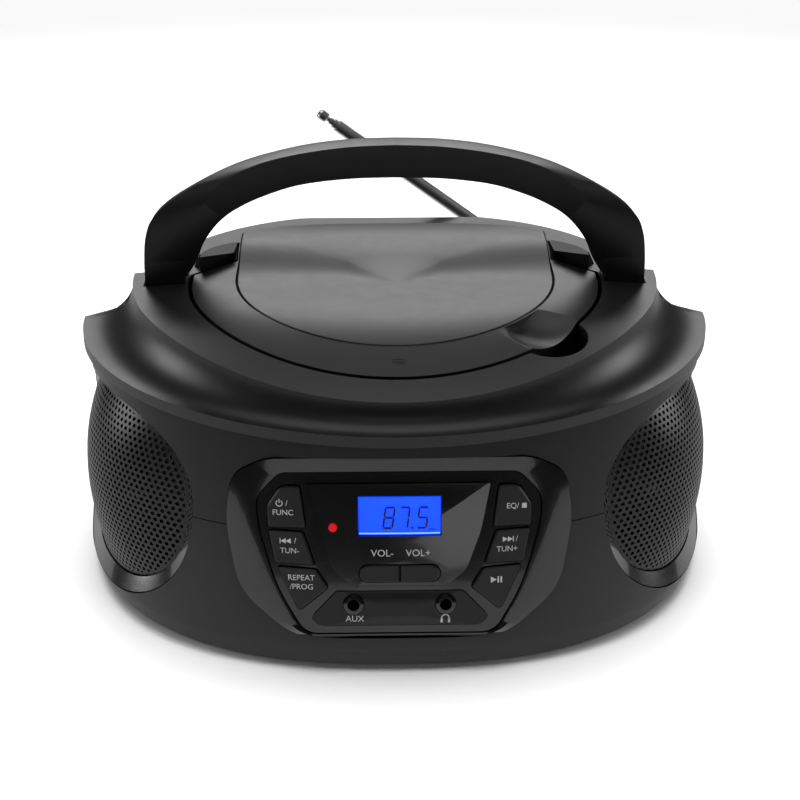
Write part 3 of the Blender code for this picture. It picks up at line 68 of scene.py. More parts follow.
# Skirt, flare and deck of the top cover.
SKIRT_OVER_SIDE = 4.0
SKIRT_HALF_DEPTH = 106.0
SKIRT_POWER = 1.95
SHOULDER_NARROWING = 0.17
SHOULDER_RUN = 26.0
LIP_HEIGHT = 4.0
RIM_INSET = 19.5
DECK_WALL = 2.5
DECK_SLOPE = 0.08
CROWN_RADIUS = 58.0
BARREL_START = 40.0
BARREL_RUN = 414.0

# Fold-down carrying handle.
PIVOT_Y = -4.0
PIVOT_Z = DECK_Z - 7.9
HANDLE_SIDE_GAP = 5.5
HANDLE_HEIGHT = 61.5
HANDLE_BACK = 3.0
ROOT_CLEARANCE = 0.7
PIN_RADIUS = 2.0
LEDGE_START_Y = 2.0
LEDGE_DEPTH = 11.5

# Lid and its opening.
LID_CENTRE_Y = -11.0
OPENING_RADIUS = 76.0
LID_GAP = 1.5
TONGUE_HALF_WIDTH = 60.4
STEP_OUTER = (74.6, -3.8)
STEP_INNER_Y = 6.5
PANEL_RADIUS = 58.4
LID_WALL = 2.0
LID_DEPTH = 5.0
LID_SKIN = 2.0
LID_BASE = 1.8
LID_BOTTOM_Z = DECK_Z - 10.0
HUMP_HALF_WIDTH = 72.4
HUMP_RISE = 4.8
HUMP_CLEARANCE = 1.3
HINGE_Y = 35.5
HINGE_Z = DECK_Z - 0.5
HINGE_PIN_RADIUS = 1.3
HINGE_LUG = (20.5, 25.5)
HINGE_POST = (26.0, 30.0)
REAR_RIM = 2.5
NOTCH_BEARING = -43.5
NOTCH_RADIUS = 13.6
NOTCH_FLOOR_Z = DECK_Z - 20.5
SCOOP_DEPTH = 3.6
NOTCH_PAST_LID = 9.7
HUMP_FALL_START = 22.0
HUMP_FALL = 1.9

# Disc bay and drive.
SPINDLE_Y = -23.0
DISH_RADIUS = 61.0
SHELF_Z = DECK_Z - 13.3
DISH_Z = DECK_Z - 17.3
TRAY_BOTTOM_Z = DECK_Z - 19.5
SLED_TRAVEL = 27.0

# Speakers, one each side, turned towards the front.
SPEAKER_YAW = 26.3
SPEAKER_AIM_Y = 4.5
SPEAKER_INSET = 15.5
SPEAKER_Z = 45.6
SPEAKER_HALF_LENGTH = 49.0
SPEAKER_HALF_HEIGHT = 37.0
SPEAKER_POWER = 2.5
SPEAKER_SIDES = 96
TRIM_FRONT = 4.5
TRIM_LOW = 6.0
GRILLE_THICKNESS = 1.2
GRILLE_DOME = 18.6
CONE_RADIUS = 27.0

# Control panel, leaning back, its face a shallow cylinder.
PANEL_Z = 14.0
PANEL_LEAN = 12.5
PANEL_PROUD = 1.1
PANEL_CURVE = 280.0
BUTTON_PROUD = 1.2
BUTTON_BACK = 4.5
BUTTON_GAP = 0.45
BEZEL_PROUD = 0.8
BEZEL_BACK = 9.0

# Back: battery bay, mains inlet and antenna.
BAY_LOW = (-26.0, 58.0, 12.0)
BAY_HIGH = (54.0, 96.0, 47.0)
BAY_WALL = 1.8
DOOR_THICKNESS = 2.0
INLET_X = -48.0
INLET_Z = 26.0
ANTENNA_X = 52.0
ANTENNA_Z = 78.4
ANTENNA_STANDOFF = 7.6
ANTENNA_RISE = 36.4
ANTENNA_LENGTH = 88.0
ANTENNA_RADII = (2.6, 2.0, 1.45, 0.95)
ANTENNA_WALLS = (0.35, 0.3, 0.25, 0.0)

BOARD_Z = 12.0
FOOT_RADIUS = 7.0
FOOT_HEIGHT = 3.2
FOOT_X = 72.0
FOOT_Y = 66.0


# ---------------------------------------------------------------- finishes


def surface(name, colour, roughness, metallic=0.0, coat=0.0, mottle=0.12, mottle_scale=240.0,
            grain=0.06, grain_scale=2600.0, glow=None):
    """A finish with a soft change of tone and gloss across it and a fine moulded grain."""
    made = bpy.data.materials.new(name)
    made.use_nodes = True
    nodes = made.node_tree.nodes
    links = made.node_tree.links
    shader = nodes["Principled BSDF"]
    shader.inputs["Metallic"].default_value = metallic
    shader.inputs["Coat Weight"].default_value = coat
    shader.inputs["Coat Roughness"].default_value = 0.04
    place_in = nodes.new("ShaderNodeTexCoord").outputs["Object"]
    mottling = nodes.new("ShaderNodeTexNoise")
    mottling.inputs["Scale"].default_value = mottle_scale
    mottling.inputs["Detail"].default_value = 5.0
    links.new(place_in, mottling.inputs["Vector"])
    tones = nodes.new("ShaderNodeValToRGB")
    tones.color_ramp.elements[0].position = 0.3
    tones.color_ramp.elements[1].position = 0.7
    tones.color_ramp.elements[0].color = (*[c * (1 - mottle) for c in colour], 1.0)
    tones.color_ramp.elements[1].color = (*[min(1.0, c * (1 + mottle)) for c in colour], 1.0)
    links.new(mottling.outputs["Fac"], tones.inputs["Fac"])
    links.new(tones.outputs["Color"], shader.inputs["Base Color"])
    gloss = nodes.new("ShaderNodeMapRange")
    gloss.inputs["To Min"].default_value = roughness * 0.88
    gloss.inputs["To Max"].default_value = min(1.0, roughness * 1.12)
    links.new(mottling.outputs["Fac"], gloss.inputs["Value"])
    links.new(gloss.outputs["Result"], shader.inputs["Roughness"])
    speckle = nodes.new("ShaderNodeTexNoise")
    speckle.inputs["Scale"].default_value = grain_scale
    speckle.inputs["Detail"].default_value = 3.0
    links.new(place_in, speckle.inputs["Vector"])
    relief = nodes.new("ShaderNodeBump")
    relief.inputs["Strength"].default_value = grain
    relief.inputs["Distance"].default_value = 0.0001
    links.new(speckle.outputs["Fac"], relief.inputs["Height"])
    links.new(relief.outputs["Normal"], shader.inputs["Normal"])
    if glow:
        links.new(tones.outputs["Color"], shader.inputs["Emission Color"])
        shader.inputs["Emission Strength"].default_value = glow
    return made


FINISHES = {
    "satin_black": surface("satin_black", (0.0075, 0.0075, 0.008), 0.40, grain=0.10),
    "gloss_black": surface("gloss_black", (0.004, 0.004, 0.0045), 0.14, coat=0.6, grain=0.015),
    "button_black": surface("button_black", (0.011, 0.011, 0.012), 0.42, grain=0.10),
    "grille_metal": surface("grille_metal", (0.014, 0.014, 0.015), 0.38, metallic=0.25, grain=0.08),
    "chrome": surface("chrome", (0.78, 0.78, 0.8), 0.3, metallic=1.0, mottle=0.05, grain=0.03),
    "steel": surface("steel", (0.35, 0.35, 0.36), 0.32, metallic=1.0, grain=0.05),
    "lcd_blue": surface("lcd_blue", (0.0, 0.06, 1.0), 0.35, mottle=0.03, grain=0.0, glow=1.0),
    "led_red": surface("led_red", (0.55, 0.003, 0.012), 0.25, mottle=0.1, grain=0.0, glow=0.6),
    "board_green": surface("board_green", (0.01, 0.09, 0.03), 0.5, mottle=0.3, grain=0.2),
    "cone_paper": surface("cone_paper", (0.012, 0.012, 0.012), 0.8, mottle=0.3, grain=0.5),
    "rubber": surface("rubber", (0.012, 0.012, 0.012), 0.75, grain=0.4),
    "label_white": surface("label_white", (0.62, 0.62, 0.62), 0.5, mottle=0.04, grain=0.1),
    "lcd_ink": surface("lcd_ink", (0.004, 0.008, 0.03), 0.5, mottle=0.05, grain=0.0),
    "lcd_line": surface("lcd_line", (0.25, 0.45, 1.0), 0.4, mottle=0.03, grain=0.0, glow=1.0),
}

# ---------------------------------------------------------------- mesh helpers


HELPERS = []
PIECES = {}
EXTRAS = []


def make_object(name, bm):
    """A mesh object of a bmesh drawn in millimetres, with its normals outwards."""
    bmesh.ops.recalc_face_normals(bm, faces=bm.faces)
    bm.transform(Matrix.Scale(MM, 4))
    mesh = bpy.data.meshes.new(name)
    bm.to_mesh(mesh)
    bm.free()
    made = bpy.data.objects.new(name, mesh)
    bpy.context.scene.collection.objects.link(made)
    return made


def place(name, bm, finish):
    made = make_object(name + "_fine", bm)
    PIECES[name] = (made, finish)
    return made


def extra(name, bm, finish, body):
    """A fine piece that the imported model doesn't hold as a node of its own."""
    made = make_object(name, bm)
    EXTRAS.append((made, finish, body))
    return made


def helper(name, bm):
    """A solid that a Boolean uses, removed when the pieces are settled."""
    made = make_object("helper_" + name, bm)
    HELPERS.append(made)
    return made


def boolean(target, other, operation):
    modifier = target.modifiers.new(operation.title(), "BOOLEAN")
    modifier.object = other
    modifier.operation = operation
    modifier.solver = "EXACT"


def cut(target, *others):
    for other in others:
        boolean(target, other, "DIFFERENCE")


def join(target, *others):
    for other in others:
        boolean(target, other, "UNION")


def settle(made):
    """Puts the result of the piece's modifiers into its mesh."""
    graph = bpy.context.evaluated_depsgraph_get()
    mesh = bpy.data.meshes.new_from_object(made.evaluated_get(graph))
    made.modifiers.clear()
    made.data = mesh


def loft(rings, closed=False):
    """Draws one ring out into the next. A closed loft joins its last ring to its first; an open one is capped."""
    bm = bmesh.new()
    count = len(rings[0])
    row = bmesh.ops.create_circle(bm, segments=count, radius=1.0)["verts"]
    first = list(bm.edges)
    edges = first
    for vert, point in zip(row, rings[0]):
        vert.co = point
    for ring_points in rings[1:]:
        drawn = bmesh.ops.extrude_edge_only(bm, edges=edges)["geom"]
        edges = [item for item in drawn if isinstance(item, bmesh.types.BMEdge)]
        edges = [edge for edge in edges if not edge.link_faces or len(edge.link_faces) == 1]
        fresh = {item for item in drawn if isinstance(item, bmesh.types.BMVert)}
        edges = [edge for edge in edges if edge.verts[0] in fresh and edge.verts[1] in fresh]
        following = []
        for vert in row:
            others = [edge.other_vert(vert) for edge in vert.link_edges]
            following.append(next(other for other in others if other in fresh))
        row = following
        for vert, point in zip(row, ring_points):
            vert.co = point
    if closed:
        bmesh.ops.bridge_loops(bm, edges=first + edges)
        return bm
    for loop in (first, edges):
        cap = bmesh.ops.contextual_create(bm, geom=loop)["faces"]
        bmesh.ops.poke(bm, faces=cap, center_mode="MEAN")
    return bm


def box(low, high):
    bm = bmesh.new()
    bmesh.ops.create_cube(bm, size=1.0)
    size = Vector(high) - Vector(low)
    middle = (Vector(high) + Vector(low)) / 2
    bmesh.ops.scale(bm, vec=size, verts=bm.verts)
    bmesh.ops.translate(bm, vec=middle, verts=bm.verts)
    return bm


def prism(outline, low, high):
    """A plan outline between two levels, each a number or a function of x and y."""

    def level(value, x, y):
        return value(x, y) if callable(value) else value

    return loft([[(x, y, level(value, x, y)) for x, y in outline] for value in (low, high)])


def turned(profile, origin, axis, sides=24, closed=False):
    """Turns (radius, distance along the axis) points round an axis through the origin."""
    along = Vector(axis).normalized()
    across = along.orthogonal().normalized()
    other = along.cross(across)
    centre = Vector(origin)
    sides = sides * 3
    rings = []
    for radius, distance in profile:
        ring = []
        for i in range(sides):
            turn = 2 * math.pi * i / sides
            spoke = across * math.cos(turn) + other * math.sin(turn)
            ring.append(centre + along * distance + spoke * radius)
        rings.append(ring)
    return loft(rings, closed)


def rod(start, end, radius, sides=24):
    axis = Vector(end) - Vector(start)
    return turned([(radius, 0.0), (radius, axis.length)], start, axis, sides)


def tube(start, end, radius, wall, sides=24):
    axis = Vector(end) - Vector(start)
    inner = radius - wall
    profile = [(radius, 0.0), (radius, axis.length), (inner, axis.length), (inner, 0.0)]
    return turned(profile, start, axis, sides, closed=True)


def soften(corners, trims, steps=4):
    """Rounds each corner of a closed outline with a curve that starts trim away from it."""
    outline = []
    count = len(corners)
    for i, corner in enumerate(corners):
        here = Vector(corner)
        before = Vector(corners[i - 1])
        after = Vector(corners[(i + 1) % count])
        start = here + (before - here).normalized() * trims[i]
        end = here + (after - here).normalized() * trims[i]
        for k in range(steps + 1):
            t = k / steps
            outline.append(start * (1 - t) ** 2 + here * 2 * t * (1 - t) + end * t**2)
    return outline


def grown(outline, distance):
    """Moves each point of a counter-clockwise outline outwards along its own normal."""
    moved = []
    count = len(outline)
    for i in range(count):
        edge = outline[(i + 1) % count] - outline[i - 1]
        outwards = Vector((edge.y, -edge.x)).normalized()
        moved.append(outline[i] + outwards * distance)
    return moved


def mirrored(half):
    """A whole outline from corners on the +X side, listed from the bottom up."""
    return list(half) + [(-x, y) for x, y in reversed(half)]


def smooth_path(points, steps):
    """A Catmull-Rom curve through points of any dimension."""
    path = []
    last = len(points) - 1
    for i in range(last):
        p0 = points[max(i - 1, 0)]
        p1 = points[i]
        p2 = points[i + 1]
        p3 = points[min(i + 2, last)]
        for k in range(steps):
            t = k / steps
            path.append(
                tuple(
                    0.5
                    * (
                        2 * b
                        + (c - a) * t
                        + (2 * a - 5 * b + 4 * c - d) * t**2
                        + (3 * b - a - 3 * c + d) * t**3
                    )
                    for a, b, c, d in zip(p0, p1, p2, p3)
                )
            )
    path.append(tuple(points[last]))
    return path


# ---------------------------------------------------------------- cabinet surfaces


def power(value, exponent):
    return math.copysign(abs(value) ** exponent, value)


def narrowing(y, share):
    """How much the top of the cabinet draws in behind its widest point."""
    t = min(max(y / SHOULDER_RUN, 0.0), 1.0)
    return 1 - SHOULDER_NARROWING * share * t * (2 - t)


def ring(half_width, front, front_power, level, inset=0.0, back=BODY_HALF_DEPTH, share=0.0):
    """A closed plan outline, flat at the back, with each half its own superellipse."""
    points = []
    for i in range(SIDES):
        turn = 2 * math.pi * i / SIDES
        behind = math.sin(turn) > 0
        bend = BODY_POWER if behind else front_power
        reach = (back if behind else front) - inset
        x = (half_width - inset) * power(math.cos(turn), 2 / bend)
        y = reach * power(math.sin(turn), 2 / bend)
        y = min(y, BACK_Y - inset)
        x *= narrowing(y, share)
        z = level(x, y) if callable(level) else level
        points.append((x, y, z))
    return points


def wall_half_width(z):
    return BODY_HALF_WIDTH - SIDE_LEAN * (z - BASE_EDGE_Z) / (SKIRT_Z - BASE_EDGE_Z)


def wall_front(z):
    return BODY_HALF_DEPTH - FRONT_LEAN * (z - BASE_EDGE_Z) / (SKIRT_Z - BASE_EDGE_Z)


def wall_ring(z, inset=0.0):
    share = max(0.0, (z - PARTING_Z - GAP) / (SKIRT_Z - PARTING_Z)) ** 1.5
    return ring(wall_half_width(z), wall_front(z), BODY_POWER, z, inset, share=share)


def outside(point):
    """Above zero outside the cabinet wall, below zero inside it."""
    x, y, z = point
    reach = wall_front(z) if y < 0 else BODY_HALF_DEPTH
    across = abs(x / wall_half_width(z)) ** BODY_POWER
    return across + abs(y / reach) ** BODY_POWER - 1


def reach_wall(at, near, far):
    """The distance at which a moving point meets the cabinet wall."""
    for _ in range(40):
        middle = (near + far) / 2
        if outside(at(middle)) > 0:
            far = middle
        else:
            near = middle
    return near


def skirt_half_width():
    return wall_half_width(SKIRT_Z) + SKIRT_OVER_SIDE


def rim_radius():
    return skirt_half_width() - RIM_INSET


def deck_level(x, y):
    """The crowned deck: it slopes down to the rim and rolls down towards the front."""
    slope = DECK_SLOPE * (rim_radius() - max(math.hypot(x, y), CROWN_RADIUS))
    roll = max(0.0, -y - BARREL_START) ** 2 / BARREL_RUN
    return DECK_Z + slope - roll


def panel_level(x, y):
    """The lid's middle, which sweeps up to the hump and falls a little behind it."""
    t = min(max((y + 12) / 28, 0.0), 1.0)
    rise = HUMP_RISE * t * t * (3 - 2 * t)
    run = rear_y(0.0) - REAR_RIM - LID_GAP - HUMP_FALL_START
    behind = max(0.0, y - HUMP_FALL_START) / run
    return deck_level(x, y) + rise - HUMP_FALL * behind * behind


def hump_top():
    return DECK_Z + DECK_SLOPE * (rim_radius() - CROWN_RADIUS) + HUMP_RISE


# ---------------------------------------------------------------- handle


def handle_half_width():
    return rim_radius() - HANDLE_SIDE_GAP


# Each station: outer, crease and inner edge as (inset from the half width, height above the pivot),
# then how far in front of the pivot each of the three edges stands.
HANDLE_STATIONS = (
    ((0.4, -6.0), (13.8, -6.0), (14.2, -6.0), (5.6, 5.6, 4.6)),
    ((0.0, -2.5), (14.0, -2.5), (14.4, -2.5), (7.8, 7.9, 6.5)),
    ((0.0, 3.5), (14.1, 3.5), (14.4, 3.2), (8.3, 8.1, 6.0)),
    ((0.1, 10.0), (14.4, 10.0), (14.8, 9.6), (8.5, 8.1, 6.0)),
    ((0.2, 18.4), (16.0, 18.6), (19.2, 17.3), (8.3, 8.1, 6.0)),
    ((1.2, 27.5), (18.0, 28.6), (22.6, 25.1), (7.5, 8.1, 6.0)),
    ((4.6, 34.5), (21.3, 38.0), (28.4, 32.5), (6.0, 8.1, 6.0)),
    ((15.0, 42.5), (30.0, 47.6), (35.5, 37.6), (3.5, 8.1, 6.0)),
    ((34.0, 52.2), (41.5, 54.0), (45.5, 42.2), (2.0, 8.1, 6.0)),
    ((55.0, 58.2), (56.5, 58.0), (58.0, 46.0), (2.0, 8.1, 6.0)),
    ((74.0, 60.9), (74.5, 60.6), (75.0, 48.1), (2.0, 8.1, 6.0)),
    ((92.0, 61.5), (92.0, 61.4), (92.0, 48.6), (2.0, 8.1, 6.0)),
)
STATION_HALF_WIDTH = 92.0
STATION_HEIGHT = 61.5


def handle_point(inset, height):
    """A station point on the +X side. Insets over 20 and heights over 10 stretch with the handle."""
    near = 20.0
    if inset > near:
        spread = (handle_half_width() - near) / (STATION_HALF_WIDTH - near)
        inset = near + (inset - near) * spread
    low = 10.0
    if height > low:
        height = low + (height - low) * (HANDLE_HEIGHT - low) / (STATION_HEIGHT - low)
    return handle_half_width() - inset, height


def handle_rows():
    """Half of the handle's stations as flat rows: three edge points, then three forward distances."""
    rows = []
    for outer, crease, inner, forward in HANDLE_STATIONS:
        row = (*handle_point(*outer), *handle_point(*crease), *handle_point(*inner), *forward)
        rows.append(row)
    return rows


def make_handle():
    half = smooth_path(handle_rows(), 9)
    flip = [tuple(-v if k in (0, 2, 4) else v for k, v in enumerate(row)) for row in half]
    rings = []
    for row in half + flip[-2::-1]:
        ox, oh, cx, ch, ix, ih, of, cf, nf = row
        back = PIVOT_Y + HANDLE_BACK
        rings.append(
            [
                (cx, PIVOT_Y - cf, PIVOT_Z + ch),
                (ox, PIVOT_Y - of, PIVOT_Z + oh),
                (ox - math.copysign(0.5, ox) * min(1.0, abs(ox)), back, PIVOT_Z + oh - 0.6),
                (ix, back, PIVOT_Z + ih + 0.6),
                (ix, PIVOT_Y - nf, PIVOT_Z + ih),
            ]
        )
    handle = place("handle", loft(rings), "satin_black")
    for side in (-1, 1):
        start = (side * (handle_half_width() - 10), PIVOT_Y, PIVOT_Z)
        end = (side * (handle_half_width() + 5), PIVOT_Y, PIVOT_Z)
        cut(handle, helper("handle_bore", rod(start, end, PIN_RADIUS + GAP, 20)))


def handle_sweep():
    """The space the handle's inner edge passes through as it folds back."""
    inner = [(row[4], row[5]) for row in smooth_path(handle_rows(), 6) if row[5] > 9.0]
    half = [(height - HUMP_CLEARANCE / 2, x) for x, height in inner[:-1]]
    profile = half + [(height, -x) for height, x in reversed(half)]
    far = HANDLE_HEIGHT + 20
    profile += [(far, profile[-1][1]), (far, profile[0][1])]
    made = helper("handle_sweep", turned(profile, (0, PIVOT_Y, PIVOT_Z), (1, 0, 0), 48, closed=True))
    low = (-BODY_HALF_WIDTH, PIVOT_Y, PIVOT_Z)
    high = (BODY_HALF_WIDTH, PIVOT_Y + far + 5, PIVOT_Z + far)
    boolean(made, helper("sweep_quarter", box(low, high)), "INTERSECT")
    return made


def hump_outline():
    """Where the raised rear of the cover stops, inside the folded handle: +X side, front to back."""
    points = []
    for row in handle_rows()[3:]:
        x, height = row[4], row[5]
        points.append((x * (1 - HUMP_CLEARANCE / 75), PIVOT_Y + height - HUMP_CLEARANCE))
    return points


def rear_y(x):
    """The hump's back edge at a given x."""
    points = sorted(hump_outline())
    for (x0, y0), (x1, y1) in zip(points, points[1:]):
        if x0 <= x <= x1:
            return y0 + (y1 - y0) * (x - x0) / (x1 - x0)
    return points[-1][1]


# ---------------------------------------------------------------- lid outline


def step_point(gap, x):
    """A point on the step line in front of the humps, moved forward by the gap."""
    run = STEP_OUTER[0] - TONGUE_HALF_WIDTH
    slope = (STEP_INNER_Y - STEP_OUTER[1]) / run
    drop = gap * math.hypot(1, slope)
    return x, STEP_OUTER[1] + (STEP_OUTER[0] - x) * slope - drop


def lid_half(gap):
    """The lid opening's outline on the +X side, front to back, drawn in by the gap."""
    radius = OPENING_RADIUS - gap
    end_x = radius - 0.35
    end_y = step_point(gap, end_x)[1]
    end_turn = math.atan2(end_y - LID_CENTRE_Y, end_x)
    half = []
    arc_steps = 64
    for i in range(arc_steps + 1):
        turn = -math.pi / 2 + (end_turn + math.pi / 2) * i / arc_steps
        half.append((radius * math.cos(turn), LID_CENTRE_Y + radius * math.sin(turn)))
    side = TONGUE_HALF_WIDTH - gap
    for share in (0.35, 0.7, 1.0):
        half.append(step_point(gap, end_x + (side - end_x) * share))
    start_y = half[-1][1]
    end_y = rear_y(side) - REAR_RIM - gap
    for share in (0.25, 0.5, 0.75, 1.0):
        half.append((side, start_y + (end_y - start_y) * share))
    for share in (0.85, 0.68, 0.5, 0.34, 0.17):
        half.append((side * share, rear_y(side * share) - REAR_RIM - gap))
    half.append((0.0, rear_y(0.0) - REAR_RIM - gap))
    return half


def lid_outline(gap):
    """The whole outline, once round from the front; the front and back points are not doubled."""
    half = lid_half(gap)
    return half + [(-x, y) for x, y in half[-2:0:-1]]


def panel_half():
    """The lid panel's outline with one point for each point of the lid's own."""
    template = lid_half(LID_GAP)
    arc_count = 65
    side = PANEL_RADIUS
    half = []
    for i in range(arc_count):
        turn = -math.pi / 2 * (1 - i / (arc_count - 1))
        half.append((side * math.cos(turn), LID_CENTRE_Y + side * math.sin(turn)))
    corner_y = template[arc_count + 2][1]
    for share in (0.35, 0.7, 1.0):
        half.append((side, LID_CENTRE_Y + (corner_y - LID_CENTRE_Y) * share))
    for x, y in template[arc_count + 3 :]:
        half.append((x * side / (TONGUE_HALF_WIDTH - LID_GAP), y))
    return half


def panel_outline():
    half = panel_half()
    return half + [(-x, y) for x, y in half[-2:0:-1]]


def towards(outline, share):
    """The outline shrunk towards the middle of the lid."""
    return [(x * share, LID_CENTRE_Y + (y - LID_CENTRE_Y) * share) for x, y in outline]


def raised(outline, level, drop=0.0):
    return [(x, y, level(x, y) - drop) for x, y in outline]


# ---------------------------------------------------------------- top cover


def flare_rings(inset):
    """Rings from the skirt's lip up the hollow flare to the rim."""
    rings = []
    steps = 14
    for i in range(steps + 1):
        turn = math.pi / 2 * i / steps
        inwards = math.sin(turn)
        upwards = 1 - math.cos(turn)
        half_width = skirt_half_width() - RIM_INSET * inwards
        front = SKIRT_HALF_DEPTH + (rim_radius() - SKIRT_HALF_DEPTH) * inwards
        bend = SKIRT_POWER + (2 - SKIRT_POWER) * inwards
        back = BODY_HALF_DEPTH + (rim_radius() - BODY_HALF_DEPTH) * inwards
        low = SKIRT_Z + LIP_HEIGHT - inset

        def level(x, y, low=low, upwards=upwards):
            top = deck_level(x, y) - (DECK_WALL if inset else 0.0)
            return low + (top - low) * upwards

        rings.append(ring(half_width, front, bend, level, inset, back, 1 - inwards))
    return rings


def deck_rings(drop):
    """Rings across the deck, from just inside the rim to the middle."""
    rings = []
    for radius in (0.993, 0.97, 0.93, 0.88, 0.82, 0.76, 0.7, 0.65, 0.592, 0.5, 0.4, 0.3, 0.2, 0.1):
        reach = radius * (rim_radius() - drop)
        points = ring(reach, reach, 2.0, deck_level, 0.0, reach)
        rings.append([(x, y, z - drop) for x, y, z in points])
    return rings


def skirt_ring(z, inset=0.0):
    return ring(skirt_half_width(), SKIRT_HALF_DEPTH, SKIRT_POWER, z, inset, share=1.0)


def ledge_prism(shrink, low):
    """The space behind the humps that the folded handle drops into."""
    half = [(x - shrink * 0.9, y - shrink) for x, y in hump_outline()]
    start = LEDGE_START_Y - shrink
    wide = BODY_HALF_WIDTH + 20
    deep = BODY_HALF_DEPTH + 20
    inner_x = half[0][0] + 0.6
    right = [(wide, start), (wide, deep), (-wide, deep), (-wide, start)]
    left_side = [(-inner_x, start)] + [(-x, y) for x, y in half]
    right_side = [(x, y) for x, y in reversed(half[:-1])] + [(inner_x, start)]
    bm = bmesh.new()
    points = right + left_side + right_side
    face = bm.faces.new([bm.verts.new((x, y, low)) for x, y in points])
    grown_face = bmesh.ops.extrude_face_region(bm, geom=[face])
    tops = [item for item in grown_face["geom"] if isinstance(item, bmesh.types.BMVert)]
    bmesh.ops.translate(bm, vec=(0, 0, 60), verts=tops)
    bmesh.ops.triangulate(bm, faces=bm.faces)
    return bm


def hump_prism(side):
    """One raised shoulder beside the lid's tongue."""
    inner_x = TONGUE_HALF_WIDTH - 0.8
    wide_x = HUMP_HALF_WIDTH
    edge = [(x + 2.5, y + 1.5) for x, y in hump_outline() if x > inner_x - 2]
    front = (wide_x, LEDGE_START_Y + 0.4)
    step = step_point(0.0, wide_x)
    plan = [(inner_x, STEP_INNER_Y + 0.6), step, front, *edge, (inner_x, rear_y(inner_x) + 2.5)]
    base = DECK_Z - LEDGE_DEPTH - 1.0

    def top(_, y):
        return hump_top() - 0.17 * (y - STEP_OUTER[1])

    return prism([(side * x, y) for x, y in plan], base, top)


def notch_centre():
    reach = OPENING_RADIUS + NOTCH_PAST_LID - NOTCH_RADIUS
    bearing = math.radians(NOTCH_BEARING)
    return reach * math.cos(bearing), LID_CENTRE_Y + reach * math.sin(bearing)


def make_top_cover():
    outer = [skirt_ring(SKIRT_Z), *flare_rings(0.0), *deck_rings(0.0)]
    cover = place("top_cover", loft(outer), "satin_black")
    ledge_z = DECK_Z - LEDGE_DEPTH
    for side in (-1, 1):
        join(cover, helper("hump", hump_prism(side)))
    cut(cover, helper("ledge", ledge_prism(0.0, ledge_z)))
    cut(cover, handle_sweep())

    below = [skirt_ring(SKIRT_Z - 5, DECK_WALL), *flare_rings(DECK_WALL), *deck_rings(DECK_WALL)]
    hollow = helper("hollow", loft(below))
    cut(hollow, helper("ledge_floor", ledge_prism(DECK_WALL, ledge_z - DECK_WALL)))
    wall_z = SHELF_Z + GAP
    cut(hollow, helper("opening_wall", prism(lid_outline(-2.0), wall_z, DECK_Z + 60)))
    x, y = notch_centre()
    notch_wall = turned([(NOTCH_RADIUS + 2, 0), (NOTCH_RADIUS + 2, 60)], (x, y, wall_z), (0, 0, 1))
    cut(hollow, helper("notch_wall", notch_wall))
    cut(cover, hollow)

    half = handle_half_width()
    inner_x = half - 14.4 - ROOT_CLEARANCE
    outer_x = half + ROOT_CLEARANCE
    front_y = PIVOT_Y - 8.3 - ROOT_CLEARANCE
    for side in (-1, 1):
        low = (min(side * (inner_x - 0.9), side * (rim_radius() - 2)), front_y - 2.2, PIVOT_Z - 9.5)
        high = (
            max(side * (inner_x - 0.9), side * (rim_radius() - 2)),
            LEDGE_START_Y - 0.7,
            DECK_Z - 1.5,
        )
        join(cover, helper("handle_boss", box(low, high)))
    for side in (-1, 1):
        low = (min(side * inner_x, side * outer_x), front_y, PIVOT_Z - 7.5)
        high = (max(side * inner_x, side * outer_x), LEDGE_START_Y + 12, DECK_Z + 30)
        cut(cover, helper("handle_pocket", box(low, high)))
        start = (side * (half - 2), PIVOT_Y, PIVOT_Z)
        end = (side * (rim_radius() + 8), PIVOT_Y, PIVOT_Z)
        cut(cover, helper("pin_bore", rod(start, end, PIN_RADIUS + GAP, 20)))

    cut(cover, helper("lid_opening", prism(lid_outline(0.0), SKIRT_Z - 6, DECK_Z + 60)))
    notch = turned([(NOTCH_RADIUS, 0), (NOTCH_RADIUS, 60)], (x, y, SKIRT_Z - 6), (0, 0, 1))
    cut(cover, helper("notch", notch))
    relief_low = (-TONGUE_HALF_WIDTH, HINGE_Y - 8, HINGE_Z - 5)
    relief_high = (TONGUE_HALF_WIDTH, HINGE_Y + 16, DECK_Z + 40)
    cut(cover, helper("rear_relief", box(relief_low, relief_high)))


# ---------------------------------------------------------------- cabinets


def make_upper_cabinet():
    flange = skirt_half_width() - DECK_WALL - GAP
    depth = SKIRT_HALF_DEPTH - DECK_WALL - GAP
    back = BODY_HALF_DEPTH - DECK_WALL - GAP
    flange_top = SKIRT_Z + 1.2

    def flange_ring(z):
        points = ring(flange, depth, SKIRT_POWER, z, 0.0, back, 1.0)
        return [(x, min(y, BACK_Y - DECK_WALL - GAP), z) for x, y, z in points]

    base = PARTING_Z + GAP / 2
    mid = (base + SKIRT_Z) / 2
    inner_top = [(x * 0.985, y * 0.985, flange_top) for x, y, _ in wall_ring(SKIRT_Z, WALL)]
    rings = [
        wall_ring(base),
        wall_ring(mid),
        wall_ring(SKIRT_Z - GAP),
        [(x, y, SKIRT_Z - GAP / 2) for x, y, _ in flange_ring(SKIRT_Z)],
        flange_ring(flange_top),
        inner_top,
        wall_ring(mid, WALL),
        wall_ring(base, WALL),
    ]
    cabinet = place("upper_cabinet", loft(rings, closed=True), "satin_black")
    cut(cabinet, *speaker_cutters(), panel_cutter())


